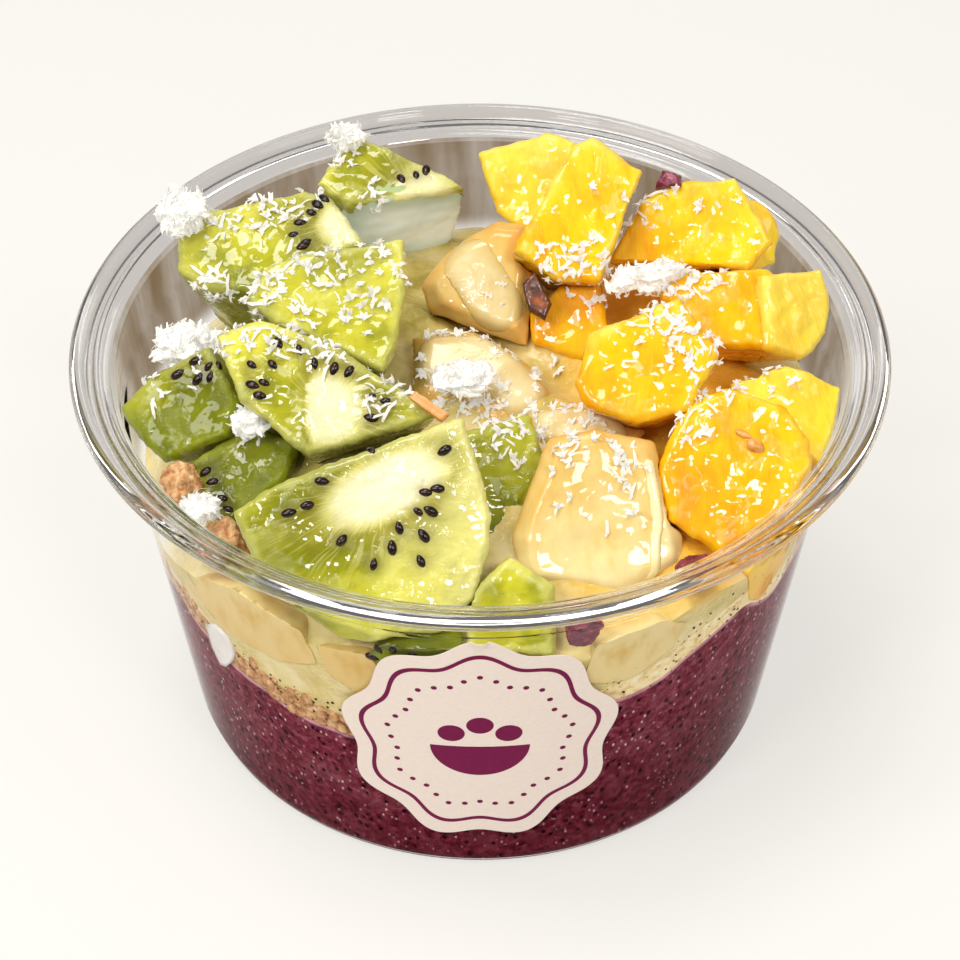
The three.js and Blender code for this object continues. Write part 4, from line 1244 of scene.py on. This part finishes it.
cream = Finish("milk_glaze", Roughness=0.4, Specular_IOR_Level=0.1, Coat_Weight=0.8, Coat_Roughness=0.04)
swirl = cream.clouds(7)
wall_tone = cream.ramp(swirl, (0.35, (236, 219, 162)), (0.52, (226, 206, 138)), (0.72, (202, 182, 100)))
pool_tone = cream.ramp(swirl, (0.35, (224, 206, 146)), (0.5, (206, 184, 104)), (0.68, (160, 142, 48)))
where = cream.node("SeparateXYZ", {0: cream.place()}).outputs
pool_tone = cream.wash(pool_tone, cream.between(where["X"], 6 * MM, 20 * MM), 0.85, (234, 176, 36))
pool_tone = cream.wash(pool_tone, cream.between(where["X"], -8 * MM, -22 * MM), 0.5, (150, 144, 52))
cream.colour(cream.blend(cream.between(where["Z"], 49 * MM, 54 * MM), wall_tone, pool_tone))
cream.relief(cream.bump(cream.clouds(3, 2.0), 0.5 * MM))
cream.sparkle(2.0, 1.6, 0.3, 0.55)
new_piece("banana_layer", bed_mesh, cream, "banana", "banana_bed")
oat_layer = Finish("oat_layer", Roughness=0.6, Specular_IOR_Level=0.2)
flecks = oat_layer.clouds(1.3, 5.0, 0.6)
tan = oat_layer.ramp(flecks, (0.3, (120, 72, 40)), (0.5, (198, 146, 92)), (0.7, (240, 206, 160)))
milky = oat_layer.ramp(flecks, (0.3, (214, 176, 116)), (0.5, (246, 222, 164)), (0.7, (255, 240, 204)))
oat_layer.colour(oat_layer.blend(oat_layer.level("milky"), tan, milky))
set_value(granola_mesh, "milky", window(azimuth_of(points_of(granola_mesh)), *MILK_SOAKED))
new_piece("granola_layer", granola_mesh, oat_layer, "granola", "granola")
print("granola faces:", len(granola_mesh.polygons))

# %% [markdown]
# ## Label
# The label is a paper oval with nine lobes, bent round the wall. Its print is a wavy line that follows
# the edge, a ring of dots and a plain bowl with three round fruits. Print is made as thin shapes that lie
# on the paper, so that its edges stay sharp at any distance.

# %% Label paper
LABEL_Z, LABEL_HALF_WIDTH, LABEL_HALF_HEIGHT = 31.4, 20, 24
LABEL_LOBES, LABEL_LOBE_DEPTH = 9, 0.05
PAPER, PAPER_BACK, INK, INK_BACK = 0.1, 0.02, 0.02, 0.01
EDGE_POINTS, DISC_POINTS, BRIM_POINTS = 216, 40, 24
PAPER_EDGE = math.radians(35)
SLOPE_DOWN = math.cos(math.atan(WALL_SLOPE))


def on_label(across, up, off):
    z = LABEL_Z + np.asarray(up, float) * SLOPE_DOWN
    wall_radius = inner_wall(z) + WALL + off
    return polar(wall_radius, np.degrees(np.asarray(across, float) / wall_radius), z)


def label_edge(share, count):
    angle = np.arange(count) / count * 2 * np.pi
    lobe = 1 + LABEL_LOBE_DEPTH * (np.cos(LABEL_LOBES * (angle - np.pi / 2)) - 1)
    return share * lobe * LABEL_HALF_WIDTH * np.cos(angle), share * lobe * LABEL_HALF_HEIGHT * np.sin(angle)


def decal(outline, low, high, shares, where=on_label):
    """Rings of a thin shape that lies on the wall, from its back, over its edge, to its front."""
    across, up = (np.asarray(values, float) for values in outline)
    middle = across.mean(), up.mean()
    spread = [(middle[0] + s * (across - middle[0]), middle[1] + s * (up - middle[1])) for s in shares]
    back = [where(x, y, low) for x, y in spread]
    front = [where(x, y, high) for x, y in spread[::-1]]
    pole = np.array([middle])
    return [where(pole[:, 0], pole[:, 1], low), *back, *front, where(pole[:, 0], pole[:, 1], high)]


paper = mottled("label_paper", 0.5, (0.3, (238, 221, 208)), (0.7, (243, 228, 216)), detail=4.0, relief=0.02,
                Roughness=0.5, Specular_IOR_Level=0.2)
paper_rings = decal(label_edge(1, EDGE_POINTS), PAPER_BACK, PAPER, np.linspace(0.1, 1, 14))
label_mesh = joined("label_paper", [skin("paper", paper_rings)])
new_piece("label_paper", label_mesh, paper, "label", "label", crease=PAPER_EDGE)
print("label faces:", len(label_mesh.polygons))

# %% Label print
LINE_SHARE, LINE_WIDTH, DOT_SHARE, DOT_COUNT, DOT_RADIUS = 0.87, 0.036, 0.66, 36, 0.42
BOWL_UP, BOWL_RADIUS, FRUIT_RADIUS = -0.5, 7, 1.9
FRUITS = [(-4, 2.6), (0, 4.6), (4, 2.6)]


def disc(across, up, radius):
    angle = np.arange(DISC_POINTS) / DISC_POINTS * 2 * np.pi
    return across + radius * np.cos(angle), up + radius * np.sin(angle)


def half_disc(up, radius):
    """A bowl: the lower half of a disc, with enough points along its straight top to bend with the wall."""
    angle = np.pi * (1 + np.arange(DISC_POINTS) / (DISC_POINTS - 1))
    brim = np.linspace(radius, -radius, BRIM_POINTS)[1:-1]
    across = np.concatenate([radius * np.cos(angle), brim])
    return across, np.concatenate([up + radius * np.sin(angle), np.full(len(brim), float(up))])


def print_shape(outline):
    return skin("print", decal(outline, PAPER - INK_BACK, PAPER + INK, np.linspace(0.25, 1, 4)))


line_in, line_out = label_edge(LINE_SHARE - LINE_WIDTH, EDGE_POINTS), label_edge(LINE_SHARE, EDGE_POINTS)
low, high = PAPER - INK_BACK, PAPER + INK
line_round = ((line_in, low), (line_out, low), (line_out, high), (line_in, high), (line_in, low))
shapes = [skin("line", [on_label(*edge, off) for edge, off in line_round])]
shapes += [print_shape(disc(x, y, DOT_RADIUS)) for x, y in zip(*label_edge(DOT_SHARE, DOT_COUNT))]
shapes.append(print_shape(half_disc(BOWL_UP, BOWL_RADIUS)))
shapes += [print_shape(disc(x, y, FRUIT_RADIUS)) for x, y in FRUITS]
ink = mottled("purple_ink", 0.8, (0.3, (112, 0, 62)), (0.7, (122, 4, 70)), Roughness=0.5,
              Specular_IOR_Level=0.1)
print_mesh = joined("label_print", shapes)
new_piece("label_print", print_mesh, ink, "label", crease=PAPER_EDGE)
print("print faces:", len(print_mesh.polygons))

# %% [markdown]
# ## Scattered bits
# Crumbs, specks and coconut are hundreds of small bits. Geometry Nodes does the scattering: points are
# spread over a carrier with a weight, a bit from a small set is set on each point with a random turn, and
# the result is made real.

# %% Scatter tree
SOCKETS = {"Geometry": "Geometry", "Bits": "Collection", "Density": "Float", "Spacing": "Float",
           "Smallest": "Float", "Largest": "Float", "Tilt": "Float", "Seed": "Int", "Finish": "Material"}


def scatter_tree():
    tree = bpy.data.node_groups.new("scatter_bits", "GeometryNodeTree")
    for name, kind in SOCKETS.items():
        tree.interface.new_socket(name, in_out="INPUT", socket_type="NodeSocket" + kind)
    tree.interface.new_socket("Geometry", in_out="OUTPUT", socket_type="NodeSocketGeometry")
    given = add_node(tree, "NodeGroupInput").outputs
    weight = add_node(tree, "GeometryNodeInputNamedAttribute", {"Name": "weight"}, data_type="FLOAT")
    spread = add_node(tree, "GeometryNodeDistributePointsOnFaces", distribute_method="POISSON", values={
        "Mesh": given["Geometry"], "Distance Min": given["Spacing"], "Density Max": given["Density"],
        "Density Factor": weight.outputs["Attribute"], "Seed": given["Seed"]})
    bits = add_node(tree, "GeometryNodeCollectionInfo", {
        "Collection": given["Bits"], "Separate Children": True, "Reset Children": True})
    tilt = given["Tilt"]
    back = add_node(tree, "ShaderNodeMath", {0: tilt, 1: -1}, operation="MULTIPLY").outputs[0]
    least = add_node(tree, "ShaderNodeCombineXYZ", {0: back, 1: back, 2: -math.pi})
    most = add_node(tree, "ShaderNodeCombineXYZ", {0: tilt, 1: tilt, 2: math.pi})
    lean = add_node(tree, "FunctionNodeRandomValue", data_type="FLOAT_VECTOR", values={
        "Min": least.outputs[0], "Max": most.outputs[0], "Seed": given["Seed"]})
    turn = add_node(tree, "FunctionNodeRotateRotation", rotation_space="LOCAL", values={
        "Rotation": spread.outputs["Rotation"], "Rotate By": lean.outputs["Value"]})
    size = add_node(tree, "FunctionNodeRandomValue", data_type="FLOAT", values={
        2: given["Smallest"], 3: given["Largest"], "Seed": given["Seed"]})
    place = add_node(tree, "GeometryNodeInstanceOnPoints", {
        "Points": spread.outputs["Points"], "Instance": bits.outputs[0], "Pick Instance": True,
        "Rotation": turn.outputs[0], "Scale": size.outputs[1]})
    real = add_node(tree, "GeometryNodeRealizeInstances", {0: place.outputs[0]})
    dress = add_node(tree, "GeometryNodeSetMaterial", {
        "Geometry": real.outputs[0], "Material": given["Finish"]})
    add_node(tree, "NodeGroupOutput", {"Geometry": dress.outputs[0]})
    return tree


scatter = scatter_tree()


def scattered(name, carrier, bits, finish, **values):
    """The carrier's bits as one plain mesh; the carrier and the bits are removed."""
    pieces = bpy.data.collections.new(name + "_bits")
    for number, mesh in enumerate(bits):
        pieces.objects.link(bpy.data.objects.new(f"{name}_bit_{number}", mesh))
    helper = link_helper(name + "_carrier", carrier)
    nodes = helper.modifiers.new("scatter", "NODES")
    nodes.node_group = scatter
    named = {item.name: item.identifier for item in scatter.interface.items_tree if item.in_out == "INPUT"}
    for key, value in {"Bits": pieces, "Finish": finish.material, **values}.items():
        nodes[named[key]] = value
    mesh = evaluated(helper)
    bpy.data.objects.remove(helper)
    for bit in list(pieces.objects):
        bpy.data.objects.remove(bit)
    bpy.data.collections.remove(pieces)
    return mesh


print("scatter inputs:", len(scatter.interface.items_tree))

# %% [markdown]
# Where the layers meet the wall there are oat crumbs, tiny dark seeds and, at the left, one white run of
# milk.

# %% Crumbs, specks and milk at the wall
MILK_RUN = [(-52.5, 36), (-49, 38.5), (-46, 38), (-45, 35), (-46.5, 32), (-49, 29), (-51, 28), (-52.5, 31)]
RUN_LOW, RUN_HIGH = -0.2, 0.7
STRIP_STEPS = 8
CRUMBS_THICK, RUN_SIDE, SPECKED_SIDE = (-58, -12), (-55, -43), (-62, 62)
PEBBLE_DENTS, PEBBLE_WIDTH = 0.35, 0.75


def on_inner_wall(azimuth, z, off):
    return polar(inner_wall(z) + off, azimuth, z)


run_rings = decal(zip(*MILK_RUN), RUN_LOW, RUN_HIGH, np.linspace(0.3, 1, 5), on_inner_wall)
new_piece("milk_run", joined("milk_run", [skin("run", run_rings)]), run_milk, "banana")


def pebble(radius, flat, seed, detail):
    """A small lump, flat towards the wall."""
    form = bmesh.new()
    bmesh.ops.create_icosphere(form, subdivisions=detail, radius=1.0)
    for vert in form.verts:
        swell = 1 + PEBBLE_DENTS * noise.noise(vert.co * 1.6 + Vector((seed, 0, 0)))
        vert.co = Vector((vert.co.x, PEBBLE_WIDTH * vert.co.y, flat * vert.co.z)) * swell * radius * MM
    return mesh_of(form, "pebble")


def with_weight(mesh, weights):
    set_value(mesh, "weight", weights)
    return mesh


def wall_strip(low, high):
    """A carrier on the wall, from below to above the edge of the acai."""
    edge = acai_top(1, around)
    steps = range(STRIP_STEPS + 1)
    return skin("strip", [layer_ring(1, edge + low + (high - low) * i / STRIP_STEPS) for i in steps])


crumb_strip = wall_strip(0.2, 5.5)
crumb_side = azimuth_of(points_of(crumb_strip))
crumb_share = 0.3 + 0.7 * window(crumb_side, *CRUMBS_THICK) - 0.3 * window(crumb_side, *MILK_SOAKED)
with_weight(crumb_strip, crumb_share * (1 - window(crumb_side, *RUN_SIDE, soft_edge=1)))
crumbs = scattered("granola_crumbs", crumb_strip, [pebble(0.9, 0.5, seed, 2) for seed in range(4)], oats,
                   Density=4e5, Spacing=1.1 * MM, Smallest=0.6, Largest=1.5, Tilt=0.2, Seed=7)
new_piece("granola_crumbs", crumbs, oats, "granola")
dark_seed = mottled("dark_specks", 2, (0.3, (30, 16, 12)), (0.7, (84, 40, 30)), Roughness=0.5,
                    Specular_IOR_Level=0.2)
speck_strip = wall_strip(-0.3, 6.5)
speck_side = azimuth_of(points_of(speck_strip))
clustered = [max(0.1, 0.2 + 2 * noise.noise(Vector(point) / (3 * MM))) for point in points_of(speck_strip)]
with_weight(speck_strip, np.array(clustered) * (0.4 + 0.6 * window(speck_side, *SPECKED_SIDE)))
specks = scattered("dark_specks", speck_strip, [pebble(0.24, 0.9, seed, 1) for seed in range(3)], dark_seed,
                   Density=9e5, Spacing=0.4 * MM, Smallest=0.4, Largest=1.3, Tilt=0.2, Seed=21)
new_piece("dark_specks", specks, dark_seed, "granola")
print("crumb faces:", len(crumbs.polygons), "speck faces:", len(specks.polygons))

# %% [markdown]
# ## Shredded coconut
# Coconut lies as hundreds of small torn shreds, in loose heaps and in patches on the fruit. The heaps
# have a rough core of their own under the shreds.

# %% Coconut shreds
FLAKE_THICK = 0.22
CLUMP_SHREDS, CLUMP_REACH = 4, 0.55


def flake(long, wide, corners, curl, seed):
    """A torn flake: a flat shape with a ragged edge, slightly curled."""
    toss = random.Random(seed)
    form = bmesh.new()
    middle = form.verts.new((0, 0, curl * 0.3 * MM))
    edge = []
    for i in range(corners):
        angle = 2 * math.pi * (i + toss.uniform(-0.35, 0.35)) / corners
        far = toss.uniform(0.45, 1.1)
        lift = toss.uniform(-curl, curl)
        corner = Vector((far * long * math.cos(angle), far * wide * math.sin(angle), lift))
        edge.append(form.verts.new(corner * MM))
    for start, end in zip(edge, edge[1:] + edge[:1]):
        form.faces.new((middle, start, end))
    return thickened(form, "flake", FLAKE_THICK)


def strip(long, wide, bend, seed):
    """A narrow shred: a bent strip that narrows to both ends."""
    toss = random.Random(seed)
    form = bmesh.new()
    pairs = []
    for i in range(5):
        along = i / 2 - 1
        half = wide * (1 - 0.7 * along * along) * toss.uniform(0.7, 1.2)
        sway, lift = toss.uniform(-0.15, 0.15), bend * (1 - along * along)
        sides = [Vector((along * long, sway + side * half, lift)) for side in (-1, 1)]
        pairs.append([form.verts.new(side * MM) for side in sides])
    for one, two in zip(pairs, pairs[1:]):
        form.faces.new((one[0], two[0], two[1], one[1]))
    return thickened(form, "strip", FLAKE_THICK)


def clump(seed):
    """A few shreds that stick together and point up and out."""
    toss = random.Random(seed)
    parts = []
    for number in range(CLUMP_SHREDS):
        part = strip(toss.uniform(0.6, 1.1), toss.uniform(0.25, 0.4), 0.3, 10 * seed + number)
        spin = Matrix.Rotation(toss.uniform(0, 2 * math.pi), 4, "Z")
        rise = Matrix.Rotation(toss.uniform(-1.0, 0.1), 4, "Y")
        part.transform(spin @ rise @ Matrix.Translation((CLUMP_REACH * MM, 0, 0)))
        parts.append(part)
    return joined("clump", parts)


def shreds():
    flakes = [flake(0.9, 0.6, 7, 0.25, 1), flake(1.1, 0.5, 7, 0.3, 2), flake(0.7, 0.6, 6, 0.2, 3)]
    return flakes + [strip(1.3, 0.3, 0.4, 4), strip(1.0, 0.35, 0.3, 5), strip(1.5, 0.28, 0.5, 6)]


print("shreds in the set:", len(shreds()))

# %% Coconut heaps
Tuft = namedtuple("Tuft", "name at half turn")
TUFTS = [
    Tuft("coconut_back_left", (-43, 16, 74.5), (4.6, 4.4, 4.4), 0),
    Tuft("coconut_left", (-42, -2.5, 65), (7, 4, 3.6), 35),
    Tuft("coconut_mid", (-32.3, -17.8, 63.6), (3, 3, 2.8), 0),
    Tuft("coconut_low", (-38.5, -29.5, 58), (3.2, 2.8, 2.6), 0),
    Tuft("coconut_back", (-20.5, 37.5, 73), (3.6, 2.6, 2.4), 10),
    Tuft("coconut_centre", (-2.5, -7, 62.5), (5.5, 4, 2.6), 0),
    Tuft("coconut_right", (24, 6, 70.5), (7.5, 2.6, 2.4), 17),
]
TUFT_CORE, TUFT_LUMPS = 0.66, 0.5
# The coconut glows faintly white: painted light, standing in for light that passes through the thin shreds
# and lifts their shade.
coconut = mottled("shredded_coconut", 2, (0.3, (248, 246, 241)), (0.7, (253, 252, 249)), Roughness=0.7,
                  Specular_IOR_Level=0.2, Emission_Strength=0.07)
cores = bmesh.new()
for tuft in TUFTS:
    core = bmesh.ops.create_icosphere(cores, subdivisions=4, radius=1.0)["verts"]
    turn = Matrix.Rotation(math.radians(tuft.turn), 4, "Z")
    for vert in core:
        lump = TUFT_CORE + TUFT_LUMPS * noise.noise(vert.co * 1.8 + Vector(tuft.at))
        vert.co = turn @ (vert.co * Vector(tuft.half)) * lump + Vector(tuft.at)
        vert.co *= MM
core_mesh = mesh_of(cores, "tuft_cores")
carrier = with_weight(core_mesh.copy(), np.ones(len(core_mesh.vertices)))
heaps = scattered("heap_shreds", carrier, shreds(), coconut, Density=2.2e6, Spacing=0.45 * MM, Smallest=0.6,
                  Largest=1.3, Tilt=1.35, Seed=3)
print("heap shreds:", len(heaps.polygons), "faces")

# %% Coconut patches on the fruit
PATCHES = {
    "kiwi_core": [(-12, 5, 4, 1), (-9, 6, 4, 0.9), (-3, 6, 4, 1), (4, 3.5, 4, 0.9), (12, 0, 5, 0.6)],
    "kiwi_slab": [(-12, 1, 4, 1), (-9, 4, 4, 1), (-2, 5, 5, 1), (6, 6, 4, 0.8), (3, -2, 5, 0.6),
                  (-4, 0, 4, 0.7), (10, 4, 3, 0.7)],
    "kiwi_left_back": [(-6, -9, 5, 1), (-9, 0, 5, 0.8), (-3, 4, 5, 0.8), (3, 8, 4, 0.9), (0, 0, 4, 0.4)],
    "kiwi_back": [(-6, 3, 4, 0.8), (0, -4, 4, 0.5)],
    "pineapple_middle": [(3, 8, 5, 1), (8, 3, 5, 1), (9, -2, 4, 0.6), (-3, 4, 4, 0.3)],
    "pineapple_tall": [(-5, -7, 4, 0.9), (0, -8, 4, 0.9), (4, 0, 7, 0.12)],
    "pineapple_front": [(-6, 6, 3.5, 1), (-2, 9, 3, 0.6), (4, 0, 8, 0.05)],
    "pineapple_back": [(-8, 2, 4, 0.6), (-5, 5, 3, 0.9), (3, 2, 5, 0.15)],
    "pineapple_upper": [(-9, 4, 4, 1), (-3, 2, 4, 0.7), (3, 1, 4, 0.3)],
    "pineapple_right_low": [(-4, 4, 5, 0.6)],
    "pineapple_low": [(2, 4, 4, 0.6)],
    "banana_front": [(-4, 9, 4, 0.9), (3, 6, 4, 0.9), (0, 9, 5, 0.4), (0, 1, 7, 0.05)],
    "banana_back": [(-2, 3, 3, 0.4), (3, -3, 4, 0.4)],
    "banana_middle": [(0, 0, 10, 1)],
    "banana_right": [(-2, 0, 8, 0.9)],
    "kiwi_centre": [(0, 5, 6, 0.7)],
    "kiwi_left": [(0, 6, 3, 0.5), (-5, 0, 4, 0.3)],
    "kiwi_left_low": [(0, 4, 4, 0.4)],
}
BED_PATCHES = [(3, -12, 60, 9, 0.9), (-4, -6, 60, 7, 1), (8, -20, 60, 6, 0.6), (10, 2, 60, 5, 0.5)]


def patch_weight(mesh, patches):
    """How thickly coconut lies on each point of a mesh; a patch is a place, a width and an amount."""
    points = points_of(mesh) / MM
    share = np.zeros(len(points))
    for middle, wide, amount in patches:
        near = 1 - np.linalg.norm(points - middle, axis=1) / wide
        share = np.maximum(share, amount * np.clip(2 * near, 0, 1))
    return share


sprinkled = bmesh.new()
weights = []
for name, patches_on in PATCHES.items():
    place = face_place(cut_named[name])
    spots = [(place @ Vector((right, up, 0)), wide, amount) for right, up, wide, amount in patches_on]
    weights.append(patch_weight(soft[name], spots))
    sprinkled.from_mesh(soft[name])
weights.append(patch_weight(bed_mesh, [(Vector(patch[:3]), *patch[3:]) for patch in BED_PATCHES]))
sprinkled.from_mesh(bed_mesh)
patch_mesh = with_weight(mesh_of(sprinkled, "sprinkled"), np.concatenate(weights))
loose = scattered("loose_shreds", patch_mesh, shreds() + [clump(seed) for seed in range(7, 12)], coconut,
                  Density=1.1e6, Spacing=0.75 * MM, Smallest=0.6, Largest=1.2, Tilt=0.4, Seed=11)
print("loose shreds:", len(loose.polygons), "faces")
heap_mesh = joined("coconut_heaps", [core_mesh, heaps])
new_piece("coconut_heaps", heap_mesh, coconut, "coconut", *[tuft.name for tuft in TUFTS], smooth=False)
loose_mesh = joined("coconut_flakes", [loose])
new_piece("coconut_flakes", loose_mesh, coconut, "coconut", smooth=False)
for mesh in (heap_mesh, loose_mesh):
    mesh.calc_loop_triangles()
    print(mesh.name, "triangles:", len(mesh.loop_triangles))
